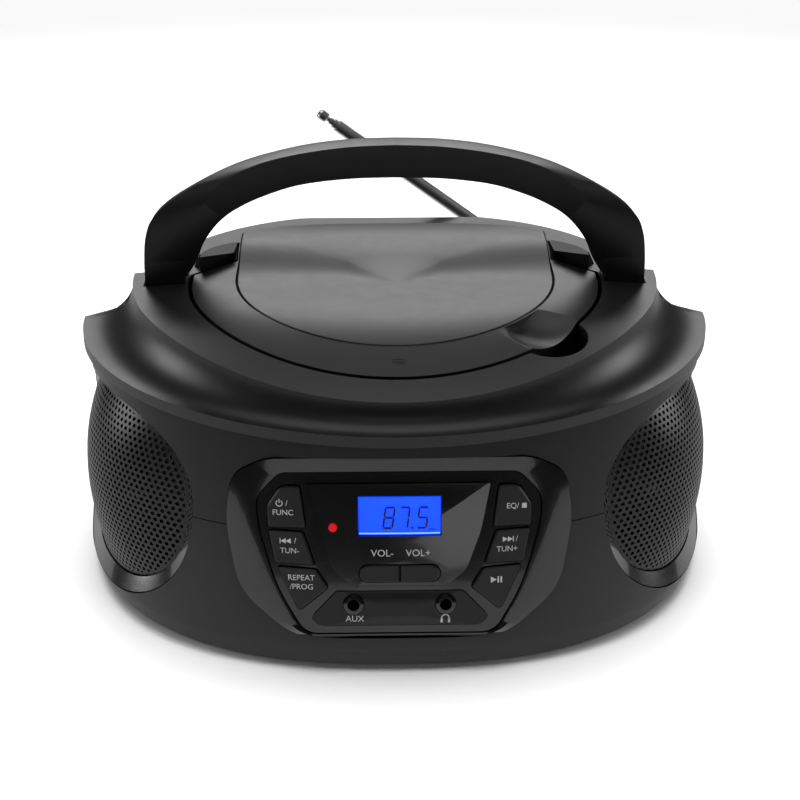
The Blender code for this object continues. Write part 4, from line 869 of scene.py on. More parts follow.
def make_lower_cabinet():
    top = PARTING_Z - GAP / 2
    plinth_top = BASE_EDGE_Z - 0.8

    def plinth_ring(z, inset=0.0):
        return ring(BODY_HALF_WIDTH, BODY_HALF_DEPTH, BODY_POWER, z, PLINTH_INSET + inset)

    rings = [
        plinth_ring(PLINTH_Z),
        plinth_ring(plinth_top),
        ring(BODY_HALF_WIDTH, BODY_HALF_DEPTH, BODY_POWER, BASE_EDGE_Z - 0.4, 2.0),
        ring(BODY_HALF_WIDTH, BODY_HALF_DEPTH, BODY_POWER, BASE_EDGE_Z + 0.6, 0.5),
        wall_ring(BASE_EDGE_Z + 2.6),
        wall_ring(top),
        wall_ring(top, WALL),
        wall_ring(BASE_EDGE_Z + 3, WALL),
        plinth_ring(FLOOR_Z, WALL),
    ]
    cabinet = place("lower_cabinet", loft(rings), "satin_black")
    cut(cabinet, *speaker_cutters(), panel_cutter())
    bay = box(
        Vector(BAY_LOW) - Vector((BAY_WALL, BAY_WALL, BAY_WALL)),
        Vector(BAY_HIGH) + Vector((BAY_WALL, -0.5, BAY_WALL)),
    )
    join(cabinet, helper("bay_walls", bay))
    cut(cabinet, helper("bay", box(BAY_LOW, Vector(BAY_HIGH) + Vector((0, 10, 0)))))
    seat_low = (BAY_LOW[0] - 1.2, BACK_Y - DOOR_THICKNESS - GAP, BAY_LOW[2] - 1.2)
    seat_high = (BAY_HIGH[0] + 1.2, BACK_Y + 10, BAY_HIGH[2] + 1.2)
    cut(cabinet, helper("door_seat", box(seat_low, seat_high)))
    cut(cabinet, inlet_cutter())
    for x, y in board_posts():
        join(cabinet, helper("board_post", rod((x, y, FLOOR_Z - 1), (x, y, BOARD_Z - GAP), 2.5, 10)))
    for x, y in foot_places():
        reach = FOOT_RADIUS + GAP
        pocket = turned([(reach, -10), (reach, 0)], (x, y, FOOT_HEIGHT + GAP), (0, 0, 1))
        wide = FOOT_RADIUS + 2
        boss = turned([(wide, -0.5), (wide, 2.5)], (x, y, FOOT_HEIGHT), (0, 0, 1))
        join(cabinet, helper("foot_boss", boss))
        cut(cabinet, helper("foot_pocket", pocket))


def board_posts():
    return [(sx * 50.0, y) for sx in (-1, 1) for y in (-34.0, 44.0)]


def foot_places():
    x = FOOT_X + BODY_HALF_WIDTH - 118.0
    y = FOOT_Y + BODY_HALF_DEPTH - 107.5
    return [(sx * x, sy * y) for sx in (-1, 1) for sy in (-1, 1)]


# ---------------------------------------------------------------- speakers


def speaker_frame(side):
    """The speaker's centre, its outward axis and the level direction that runs forwards."""
    yaw = math.radians(SPEAKER_YAW)
    axis = Vector((side * math.cos(yaw), -math.sin(yaw), 0))
    forward = Vector((-side * math.sin(yaw), -math.cos(yaw), 0))
    start = Vector((0, SPEAKER_AIM_Y, SPEAKER_Z))
    reach = reach_wall(lambda t: start + axis * t, 0.0, 2 * BODY_HALF_WIDTH)
    return start + axis * (reach - SPEAKER_INSET), axis, forward


def speaker_outline(length, height, low=0.0):
    """A superellipse round the speaker; its lower half can be drawn up by the low trim."""
    points = []
    for i in range(SPEAKER_SIDES):
        turn = 2 * math.pi * i / SPEAKER_SIDES
        u = length * power(math.cos(turn), 2 / SPEAKER_POWER)
        v = height * power(math.sin(turn), 2 / SPEAKER_POWER)
        if v < 0:
            v = v * (height - low) / height
        points.append((u, v))
    return points


def speaker_ring(side, outline, distance):
    """Places an outline on the speaker's frame, at a distance along its axis for each point."""
    centre, axis, forward = speaker_frame(side)
    placed = []
    for u, v in outline:
        w = distance(u, v) if callable(distance) else distance
        placed.append(centre + forward * u + Vector((0, 0, v)) + axis * w)
    return placed


def wall_distance(side):
    centre, axis, forward = speaker_frame(side)

    def distance(u, v):
        start = centre + forward * u + Vector((0, 0, v))
        return reach_wall(lambda t: start + axis * t, -30.0, 60.0)

    return distance


def speaker_cutters():
    made = []
    for side in (-1, 1):
        outline = speaker_outline(SPEAKER_HALF_LENGTH, SPEAKER_HALF_HEIGHT)
        rings = [speaker_ring(side, outline, w) for w in (-14.0, 45.0)]
        made.append(helper("speaker_opening", loft(rings)))
    return made


def grille_edge(side):
    wall = wall_distance(side)
    return lambda u, v: wall(u, v) - 3.5


def make_speaker(side, word):
    wall = wall_distance(side)
    edge = grille_edge(side)
    length = SPEAKER_HALF_LENGTH - 0.4
    height = SPEAKER_HALF_HEIGHT - 0.4
    grille_length = SPEAKER_HALF_LENGTH - TRIM_FRONT
    grille_height = SPEAKER_HALF_HEIGHT - 3.0
    outer = speaker_outline(length, height)
    inner = speaker_outline(grille_length + 0.4, grille_height + 0.4, TRIM_LOW - 3.0)
    seat = speaker_outline(grille_length - 2.5, grille_height - 2.5, TRIM_LOW - 3.0)
    back = -9.0
    rings = [
        speaker_ring(side, outer, back),
        speaker_ring(side, outer, lambda u, v: wall(u, v) - 0.4),
        speaker_ring(side, inner, lambda u, v: edge(u, v) + 0.6),
        speaker_ring(side, inner, lambda u, v: edge(u, v) - 1.8),
        speaker_ring(side, seat, lambda u, v: min(edge(u, v) - 2.0, 4.0)),
        speaker_ring(side, seat, back),
    ]
    place("speaker_surround_" + word, loft(rings, closed=True), "gloss_black")


HOLE_PITCH = 2.3
HOLE_RADIUS = 0.74
SHEET_THICKNESS = 0.8


def hole_sheet(length, height, low):
    """A flat sheet with staggered rows of holes, trimmed to the speaker's outline."""
    row_pitch = HOLE_PITCH * math.sqrt(0.75)
    columns = 2 * math.ceil(length / HOLE_PITCH) + 4
    rows = 2 * math.ceil(height / row_pitch) + 4
    bm = bmesh.new()
    bmesh.ops.create_grid(bm, x_segments=columns, y_segments=rows, size=0.5)
    bmesh.ops.scale(bm, vec=(columns * HOLE_PITCH, rows * row_pitch, 1), verts=bm.verts)
    odd = [vert for vert in bm.verts if round(vert.co.y / row_pitch) % 2]
    bmesh.ops.translate(bm, vec=(HOLE_PITCH / 2, 0, 0), verts=odd)
    bmesh.ops.triangulate(bm, faces=bm.faces, quad_method="SHORT_EDGE")
    holes = bmesh.ops.bevel(bm, geom=bm.verts, offset=HOLE_RADIUS, segments=1, profile=0.5,
                            affect="VERTICES", material=-1)["faces"]
    bmesh.ops.delete(bm, geom=holes, context="FACES")
    outline = speaker_outline(length, height, low)
    for i, (u, v) in enumerate(outline):
        next_u, next_v = outline[(i + 1) % len(outline)]
        outwards = Vector((next_v - v, u - next_u, 0))
        everything = bm.verts[:] + bm.edges[:] + bm.faces[:]
        bmesh.ops.bisect_plane(bm, geom=everything, plane_co=(u, v, 0), plane_no=outwards, clear_outer=True)
    return bm


def make_grille(side, word):
    """The domed, perforated sheet with a plain rim pressed round it."""
    length = SPEAKER_HALF_LENGTH - TRIM_FRONT
    height = SPEAKER_HALF_HEIGHT - 3.0
    low = TRIM_LOW - 3.0
    edge = grille_edge(side)
    centre, axis, forward = speaker_frame(side)

    def dome_point(u, v, drop):
        lift = height / (height - low) if v < 0 else 1.0
        share = (abs(u / length) ** SPEAKER_POWER + abs(v * lift / height) ** SPEAKER_POWER)
        share = max(0.02, share ** (1 / SPEAKER_POWER))
        rim = edge(u / share, v / share)
        level = rim + (GRILLE_DOME - rim) * (1 - share * share) - drop
        return centre + forward * u + Vector((0, 0, v)) + axis * level

    bm = hole_sheet(length - 0.2, height - 0.2, low)
    for vert in bm.verts:
        vert.co = dome_point(vert.co.x, vert.co.y, SHEET_THICKNESS)
    bmesh.ops.recalc_face_normals(bm, faces=bm.faces)
    if sum(face.normal.dot(axis) for face in bm.faces) < 0:
        bmesh.ops.reverse_faces(bm, faces=bm.faces)
    bmesh.ops.solidify(bm, geom=bm.faces, thickness=-SHEET_THICKNESS)
    place("speaker_grille_" + word, bm, "grille_metal")

    outline = speaker_outline(length, height, low)
    rings = []
    for share, drop in ((1.0, 1.2), (1.0, 0.1), (0.985, -0.15), (0.972, 0.0), (0.972, 1.2)):
        rings.append([dome_point(u * share, v * share, drop) for u, v in outline])
    extra("speaker_grille_rim_" + word, loft(rings, closed=True), "grille_metal", "cabinet")


# ---------------------------------------------------------------- control panel


def panel_origin():
    return Vector((0, -(wall_front(PANEL_Z) + PANEL_PROUD), PANEL_Z))


def panel_axes():
    lean = math.radians(PANEL_LEAN)
    up = Vector((0, math.sin(lean), math.cos(lean)))
    out = Vector((0, -math.cos(lean), math.sin(lean)))
    return up, out


def on_panel(x, v, height=0.0):
    """A point x across and v up the curved panel, raised off its face."""
    up, out = panel_axes()
    bend = x / PANEL_CURVE
    across = Vector((1, 0, 0))
    spoke = out * math.cos(bend) + across * math.sin(bend)
    centre = panel_origin() - out * PANEL_CURVE
    return centre + up * v + spoke * (PANEL_CURVE + height)


def panel_normal(x):
    _, out = panel_axes()
    bend = x / PANEL_CURVE
    return out * math.cos(bend) + Vector((1, 0, 0)) * math.sin(bend)


def panel_wall(x, v):
    """The height above the panel's face at which the cabinet wall lies."""
    return reach_wall(lambda t: on_panel(x, v, t), -25.0, 25.0)


def panel_ring(outline, height):
    return [on_panel(x, v, height(x, v) if callable(height) else height) for x, v in outline]


def plate(outline, low, high, middle_steps=2):
    """A curved plate whose faces follow the panel."""
    centre = sum((Vector(point) for point in outline), Vector((0, 0))) / len(outline)

    def scaled(share):
        return [centre + (Vector(point) - centre) * share for point in outline]

    shares = [1 - k / (middle_steps + 1) for k in range(middle_steps + 1)]
    rings = [panel_ring(scaled(share), low) for share in reversed(shares)]
    rings += [panel_ring(scaled(share), high) for share in shares]
    return loft(rings)


def bezel_outline():
    half = ((36.5, 0.0), (56.0, 16.0), (60.5, 42.0), (57.0, 57.5), (45.0, 63.5))
    trims = (8.0, 8.0, 9.0, 5.0, 5.0)
    return soften(mirrored(half), trims + trims[::-1], 8)


def face_outline():
    half = ((32.5, 1.8), (42.0, 18.0), (48.4, 41.0), (48.4, 50.0), (40.5, 58.4))
    trims = (4.5, 8.0, 4.5, 3.5, 2.5)
    return soften(mirrored(half), trims + trims[::-1], 8)


# Corners of the six function buttons on the +X side, from the lower inner corner round.
TOP_BUTTON = ((32.0, 39.5), (44.6, 39.5), (44.9, 47.0), (40.2, 53.9), (33.8, 53.9))
MIDDLE_BUTTON = ((29.0, 26.3), (42.4, 26.9), (44.4, 38.2), (32.8, 37.8))
LOWER_BUTTON = ((24.4, 18.4), (34.5, 9.8), (41.6, 25.4), (28.4, 24.7))
BUTTON_TRIMS = {
    "top": (1.0, 1.0, 1.6, 2.2, 1.0),
    "middle": (1.0, 1.0, 1.0, 1.0),
    "lower": (1.4, 1.4, 1.2, 1.0),
}
BUTTON_NAMES = {
    ("top", -1): "button_power_source",
    ("middle", -1): "button_tune_down",
    ("lower", -1): "button_repeat_program",
    ("top", 1): "button_stop_tone",
    ("middle", 1): "button_tune_up",
    ("lower", 1): "button_play_pause",
}


def button_outline(row, side):
    corners = {"top": TOP_BUTTON, "middle": MIDDLE_BUTTON, "lower": LOWER_BUTTON}[row]
    trims = BUTTON_TRIMS[row]
    if side < 0:
        corners = [(-x, v) for x, v in reversed(corners)]
        trims = trims[::-1]
    return soften(corners, trims, 6)


def lens_outline():
    half = ((16.0, 19.0), (22.6, 24.2), (27.6, 38.0), (30.8, 54.6))
    trims = (2.0, 2.5, 3.0, 0.9)
    return soften(mirrored(half), trims + trims[::-1], 8)


def volume_outline(side):
    """One half of the volume pill: flat at the middle, round at its outer end."""
    bottom, top, reach = 20.6, 26.4, 13.6
    middle = (bottom + top) / 2
    radius = (top - bottom) / 2
    inner = 0.25
    points = [(inner, bottom)]
    for k in range(17):
        turn = math.radians(-90 + 180 * k / 16)
        points.append((reach - radius + radius * math.cos(turn), middle + radius * math.sin(turn)))
    points.append((inner, top))
    if side < 0:
        points = [(-x, v) for x, v in reversed(points)]
    return [Vector(point) for point in points]


def jack_plate_outline():
    half = ((27.5, 4.6), (30.4, 7.4), (21.6, 16.9))
    trims = (2.0, 1.6, 1.0)
    return soften(mirrored(half), trims + trims[::-1], 8)


WINDOW = ((-14.2, 36.6), (14.2, 50.4))
LED_PLACE = (-22.6, 39.6)
LED_RADIUS = 1.4
JACKS = (("aux_jack", -15.8), ("headphone_jack", 15.6))
JACK_V = 12.3
JACK_RADIUS = 3.4
JACK_BORE = 1.8
BOARD_HEIGHT = -10.5


def panel_cutter():
    outline = grown(bezel_outline(), 0.35)
    rings = [panel_ring(outline, height) for height in (-16.0, 16.0)]
    return helper("panel_opening", loft(rings))


def panel_rod(x, v, radius, low, high, sides=20):
    return rod(on_panel(x, v, low), on_panel(x, v, high), radius, sides)


def window_outline(grow=0.0):
    (x0, v0), (x1, v1) = WINDOW
    steps = 4
    xs = [x0 - grow + (x1 - x0 + 2 * grow) * k / steps for k in range(steps + 1)]
    bottom = [Vector((x, v0 - grow)) for x in xs]
    top = [Vector((x, v1 + grow)) for x in reversed(xs)]
    return bottom + top


def make_panel():
    outer = bezel_outline()
    inner = grown(face_outline(), GAP)
    count = len(outer)
    between = [outer[i] * 0.35 + inner[i] * 0.65 for i in range(count)]
    rings = [
        panel_ring(outer, -BEZEL_BACK),
        panel_ring(outer, lambda x, v: panel_wall(x, v) + BEZEL_PROUD),
        panel_ring(between, lambda x, v: max(1.0, (panel_wall(x, v) + BEZEL_PROUD) * 0.4 + 0.6)),
        panel_ring(inner, 0.7),
        panel_ring(inner, -BEZEL_BACK),
    ]
    place("panel_bezel", loft(rings, closed=True), "gloss_black")

    face = place("control_panel", plate(face_outline(), -2.2, 0.0, 2), "gloss_black")
    for x, v in ((0.0, 11.5), (-20.0, 56.0), (20.0, 56.0)):
        join(face, helper("face_post", panel_rod(x, v, 1.5, BOARD_HEIGHT + 0.5, -1.8, 12)))
    pad = BUTTON_GAP
    for (row, side), name in BUTTON_NAMES.items():
        outline = button_outline(row, side)
        opening = [panel_ring(grown(outline, pad), h) for h in (-6.0, 4.0)]
        cut(face, helper("opening_" + name, loft(opening)))
        bevel = grown(outline, -0.5)
        rings = [
            panel_ring(outline, -BUTTON_BACK),
            panel_ring(outline, BUTTON_PROUD - 0.4),
            panel_ring(bevel, BUTTON_PROUD),
        ]
        button = place(name, loft(rings), "button_black")
    lens_seat = plate(grown(lens_outline(), GAP), -1.2, 3.0, 1)
    cut(face, helper("lens_seat", lens_seat))
    cut(face, helper("window_back", loft([panel_ring(window_outline(0.6), h) for h in (-6.0, 3.0)])))
    jack_seat = plate(grown(jack_plate_outline(), GAP), -1.2, 3.0, 1)
    cut(face, helper("jack_seat", jack_seat))

    lens = place("display_lens", plate(lens_outline(), -0.9, 0.6, 2), "gloss_black")
    cut(lens, helper("window", loft([panel_ring(window_outline(), h) for h in (-4.0, 4.0)])))
    lcd_ring = window_outline(-GAP)
    place("lcd_module", loft([panel_ring(lcd_ring, h) for h in (-6.0, -0.2)]), "lcd_blue")
    x, v = LED_PLACE
    place("standby_led", panel_rod(x, v, LED_RADIUS, -6.0, 0.9, 16), "led_red")
    led_hole = helper("led_hole", panel_rod(x, v, LED_RADIUS + GAP, -8.0, 4.0, 16))
    cut(lens, led_hole)
    cut(face, led_hole)

    for side, name in ((-1, "button_volume_down"), (1, "button_volume_up")):
        outline = volume_outline(side)
        walls = [panel_ring(grown(outline, pad), h) for h in (-6, 4)]
        opening = helper("opening_" + name, loft(walls))
        cut(lens, opening)
        cut(face, opening)
        shape = [panel_ring(outline, -BUTTON_BACK), panel_ring(outline, 1.1)]
        shape.append(panel_ring(grown(outline, -0.5), 1.5))
        button = place(name, loft(shape), "button_black")

    jack_plate = place("jack_plate", plate(jack_plate_outline(), -0.9, 0.5, 2), "satin_black")
    for name, x in JACKS:
        hole = helper(name + "_hole", panel_rod(x, JACK_V, JACK_RADIUS + GAP, -12.0, 5.0))
        cut(jack_plate, hole)
        cut(face, hole)
        at = on_panel(x, JACK_V)
        profile = [(JACK_RADIUS, -8.0), (JACK_RADIUS, 0.9), (JACK_RADIUS - 0.6, 1.2),
                   (JACK_BORE + 0.3, 1.2), (JACK_BORE, 0.8), (JACK_BORE, -8.0)]
        place(name, turned(profile, at, panel_normal(x), 24, closed=True), "gloss_black")


# ---------------------------------------------------------------- printing and display


PRINT_LIFT = 0.05
BUTTON_FACE = BUTTON_PROUD + PRINT_LIFT
LENS_FACE = 0.6 + PRINT_LIFT
PLATE_FACE = 0.5 + PRINT_LIFT


def lettering(text, cap_height):
    """Thin raised letters, centred on the origin, as a bmesh."""
    curve = bpy.data.curves.new("lettering", "FONT")
    curve.body = text
    curve.size = cap_height / 0.73
    curve.align_x = "CENTER"
    curve.align_y = "CENTER"
    curve.extrude = PRINT_LIFT / 2
    curve.resolution_u = 3
    made = bpy.data.objects.new("lettering", curve)
    bpy.context.scene.collection.objects.link(made)
    graph = bpy.context.evaluated_depsgraph_get()
    mesh = bpy.data.meshes.new_from_object(made.evaluated_get(graph))
    bm = bmesh.new()
    bm.from_mesh(mesh)
    bmesh.ops.remove_doubles(bm, verts=bm.verts, dist=0.001)
    bpy.data.objects.remove(made)
    bpy.data.meshes.remove(mesh)
    bpy.data.curves.remove(curve)
    return bm


def stamp(bm, outline):
    """Adds a thin raised shape with this outline to a bmesh."""
    face = bm.faces.new([bm.verts.new((x, y, -PRINT_LIFT / 2)) for x, y in outline])
    raised_face = bmesh.ops.extrude_face_region(bm, geom=[face])["geom"]
    tops = [item for item in raised_face if isinstance(item, bmesh.types.BMVert)]
    bmesh.ops.translate(bm, vec=(0, 0, PRINT_LIFT), verts=tops)


def block(x0, y0, x1, y1):
    return [(x0, y0), (x1, y0), (x1, y1), (x0, y1)]


def strip(x0, x1, half_height, steps):
    """A long thin strip with enough points to follow the panel's curve."""
    low = [(x0 + (x1 - x0) * k / steps, -half_height) for k in range(steps + 1)]
    return low + [(x, -y) for x, y in reversed(low)]


def arc_band(radius, width, start, end, steps=20):
    """A band that follows part of a circle, from one bearing to another."""
    outer = []
    inner = []
    for k in range(steps + 1):
        turn = math.radians(start + (end - start) * k / steps)
        outer.append(((radius + width / 2) * math.cos(turn), (radius + width / 2) * math.sin(turn)))
        inner.append(((radius - width / 2) * math.cos(turn), (radius - width / 2) * math.sin(turn)))
    return outer + inner[::-1]


def power_sign():
    return [arc_band(1.05, 0.3, 125, 415), block(-0.15, 0.1, 0.15, 1.45)]


def skip_sign(side):
    bar = block(1.75, -0.95, 2.05, 0.95)
    wedges = [[(x, -0.95), (x + 1.75, 0.0), (x, 0.95)] for x in (-1.75, 0.0)]
    return [[(side * x, y) for x, y in shape] for shape in (bar, *wedges)]


def play_pause_sign():
    bars = [block(x, -1.1, x + 0.55, 1.1) for x in (0.35, 1.4)]
    return [[(-1.95, -1.1), (0.1, 0.0), (-1.95, 1.1)], *bars]


def stop_sign():
    return [block(-0.85, -0.85, 0.85, 0.85)]


def headphone_sign():
    cups = [block(side * 1.25 - 0.4, -1.5, side * 1.25 + 0.4, -0.15) for side in (-1, 1)]
    return [arc_band(1.3, 0.35, -15, 195), *cups]


def sign(shapes):
    bm = bmesh.new()
    for shape in shapes:
        stamp(bm, shape)
    return bm


def on_face(bm, x, v, height):
    """Bends a flat print onto the panel, centred at x and v."""
    for vert in bm.verts:
        vert.co = on_panel(x + vert.co.x, v + vert.co.y, height + vert.co.z)
    return bm


def merge(prints):
    """One bmesh that holds several."""
    whole = bmesh.new()
    for bm in prints:
        mesh = bpy.data.meshes.new("print")
        bm.to_mesh(mesh)
        bm.free()
        whole.from_mesh(mesh)
        bpy.data.meshes.remove(mesh)
    return whole


# Each key's printing: a sign or letters, its height, then where it sits on the panel.
KEY_PRINTS = {
    "button_power_source": ((power_sign(), None, -40.6, 48.0), ("/", 2.0, -38.1, 48.0),
                            ("FUNC", 2.0, -39.4, 44.7)),
    "button_tune_down": ((skip_sign(-1), None, -38.6, 34.8), ("/", 2.0, -35.4, 34.8),
                         ("TUN-", 2.0, -37.3, 31.3)),
    "button_repeat_program": (("REPEAT", 2.0, -33.5, 21.8), ("/PROG", 2.0, -33.4, 18.6)),
    "button_stop_tone": (("EQ/", 2.0, 38.3, 46.4), (stop_sign(), None, 42.3, 46.4)),
    "button_tune_up": ((skip_sign(1), None, 36.7, 34.8), ("/", 2.0, 39.8, 34.8),
                       ("TUN+", 2.0, 36.5, 31.3)),
    "button_play_pause": ((play_pause_sign(), None, 32.9, 20.6),),
}


def printed(mark, cap_height, x, v, height):
    flat = lettering(mark, cap_height) if cap_height else sign(mark)
    return on_face(flat, x, v, height)


def make_printing():
    for button, marks in KEY_PRINTS.items():
        prints = [printed(*mark, BUTTON_FACE) for mark in marks]
        extra(button + "_print", merge(prints), "label_white", NODE_BODY[button])
    lens = [printed(word, 2.5, x, 30.6, LENS_FACE) for word, x in (("VOL-", -5.9), ("VOL+", 6.3))]
    extra("volume_print", merge(lens), "label_white", "cabinet")
    plate_marks = [printed("AUX", 2.2, -15.4, 7.2, PLATE_FACE)]
    plate_marks.append(printed(headphone_sign(), None, 15.5, 7.2, PLATE_FACE))
    extra("socket_print", merge(plate_marks), "label_white", "cabinet")


DIGIT_WIDTH = 3.1
DIGIT_HEIGHT = 7.2
BAR = 0.62
SLANT = 0.13
SEGMENTS = {"8": "abcdefg", "7": "abc", "5": "acdfg"}


def digit_bars(digit, x):
    """The bars of one digit, each a thin hexagon, leaning to the right."""
    half = DIGIT_HEIGHT / 2
    places = {
        "a": (0, half, 1), "g": (0, 0, 1), "d": (0, -half, 1),
        "b": (DIGIT_WIDTH / 2, half / 2, 0), "c": (DIGIT_WIDTH / 2, -half / 2, 0),
        "f": (-DIGIT_WIDTH / 2, half / 2, 0), "e": (-DIGIT_WIDTH / 2, -half / 2, 0),
    }
    bars = []
    for letter in SEGMENTS[digit]:
        cx, cy, level = places[letter]
        reach = (DIGIT_WIDTH if level else half) / 2 - 0.1
        thin = BAR / 2
        bar = [(-reach, 0), (-reach + thin, -thin), (reach - thin, -thin),
               (reach, 0), (reach - thin, thin), (-reach + thin, thin)]
        if not level:
            bar = [(-y, along) for along, y in bar]
        bars.append([(x + cx + px + SLANT * (cy + py), cy + py) for px, py in bar])
    return bars


def make_display():
    shapes = digit_bars("8", -3.6) + digit_bars("7", 1.5) + digit_bars("5", 7.9)
    shapes.append(block(4.0, -3.9, 4.7, -3.2))
    digits = on_face(sign(shapes), 0.0, 42.9, -0.12)
    unit = on_face(lettering("MHz", 0.9), 11.2, 38.6, -0.12)
    extra("lcd_digits", merge([digits, unit]), "lcd_ink", "cabinet")
    line = on_face(sign([strip(-13.7, 13.7, 0.22, 14)]), 0.0, 37.45, -0.12)
    extra("lcd_light_line", line, "lcd_line", "cabinet")


def make_lid_mark():
    """Two small dashes moulded at the front of the lid, where a finger opens it."""
    bm = sign([block(-2.2, y - 0.18, 2.2, y + 0.18) for y in (0.65, -0.65)])
    for vert in bm.verts:
        x = vert.co.x
        y = vert.co.y - 77.2
        vert.co = (x, y, deck_level(x, y) + vert.co.z + 0.06)
    extra("lid_open_mark", bm, "button_black", "lid")


# ---------------------------------------------------------------- disc bay, lid and drive


def make_tray():
    tray = place("disc_tray", prism(lid_outline(0.5), TRAY_BOTTOM_Z, SHELF_Z), "satin_black")
    x, y = notch_centre()
    boss_low = NOTCH_FLOOR_Z - 1.6
    boss_top = SHELF_Z - boss_low - 0.5
    collar = NOTCH_RADIUS + 1.7
    boss = turned([(collar, 0), (collar, boss_top)], (x, y, boss_low), (0, 0, 1))
    join(tray, helper("notch_boss", boss))
    spindle = (0, SPINDLE_Y, DISH_Z)

    def round_keep(name, radius, low, sides):
        return helper(name, turned([(radius, low), (radius, 40)], spindle, (0, 0, 1), sides))

    cut(tray, round_keep("dish", DISH_RADIUS, 0, 47))
    pocket_keep = round_keep("pocket_keep", DISH_RADIUS + 2, -20, 45)
    dish_keep = round_keep("dish_keep", DISH_RADIUS + 2.5, -20, 43)
    well = turned([(NOTCH_RADIUS, 0), (NOTCH_RADIUS, 40)], (x, y, NOTCH_FLOOR_Z), (0, 0, 1))
    pocket = helper("finger_pocket", well)
    cut(pocket, pocket_keep)
    underside = helper("underside", prism(lid_outline(2.7), TRAY_BOTTOM_Z - 5, SHELF_Z - 2.0))
    wide = NOTCH_RADIUS + 2.6
    keep_boss = turned([(wide, -9), (wide, 40)], (x, y, boss_low), (0, 0, 1))
    cut(underside, dish_keep, helper("keep_boss", keep_boss))
    cut(tray, pocket, underside)
    hub_hole = turned([(17.0, -20), (17.0, 20)], spindle, (0, 0, 1), 40)
    slot = box((10, SPINDLE_Y - 9, DISH_Z - 20), (56, SPINDLE_Y + 9, DISH_Z + 2))
    cut(tray, helper("hub_hole", hub_hole), helper("laser_slot", slot))
    for side in (-1, 1):
        xs = sorted(side * x for x in HINGE_POST)
        post = box((xs[0], HINGE_Y - 2.3, SHELF_Z - 1), (xs[1], HINGE_Y + 2.3, HINGE_Z))
        join(tray, helper("hinge_post", post))
        eye = rod((xs[0] + 0.2, HINGE_Y, HINGE_Z), (xs[1] - 0.2, HINGE_Y, HINGE_Z), 2.4, 19)
        join(tray, helper("hinge_eye", eye))
    for side in (-1, 1):
        start = (side * (HINGE_POST[0] - 3), HINGE_Y, HINGE_Z)
        end = (side * (HINGE_POST[1] + 3), HINGE_Y, HINGE_Z)
        cut(tray, helper("hinge_bore", rod(start, end, HINGE_PIN_RADIUS + GAP, 16)))


def lid_bottom(x, y):
    t = min(max((y - 14) / 12, 0.0), 1.0)
    return LID_BOTTOM_Z + (HINGE_Z + 3.0 - LID_BOTTOM_Z) * t


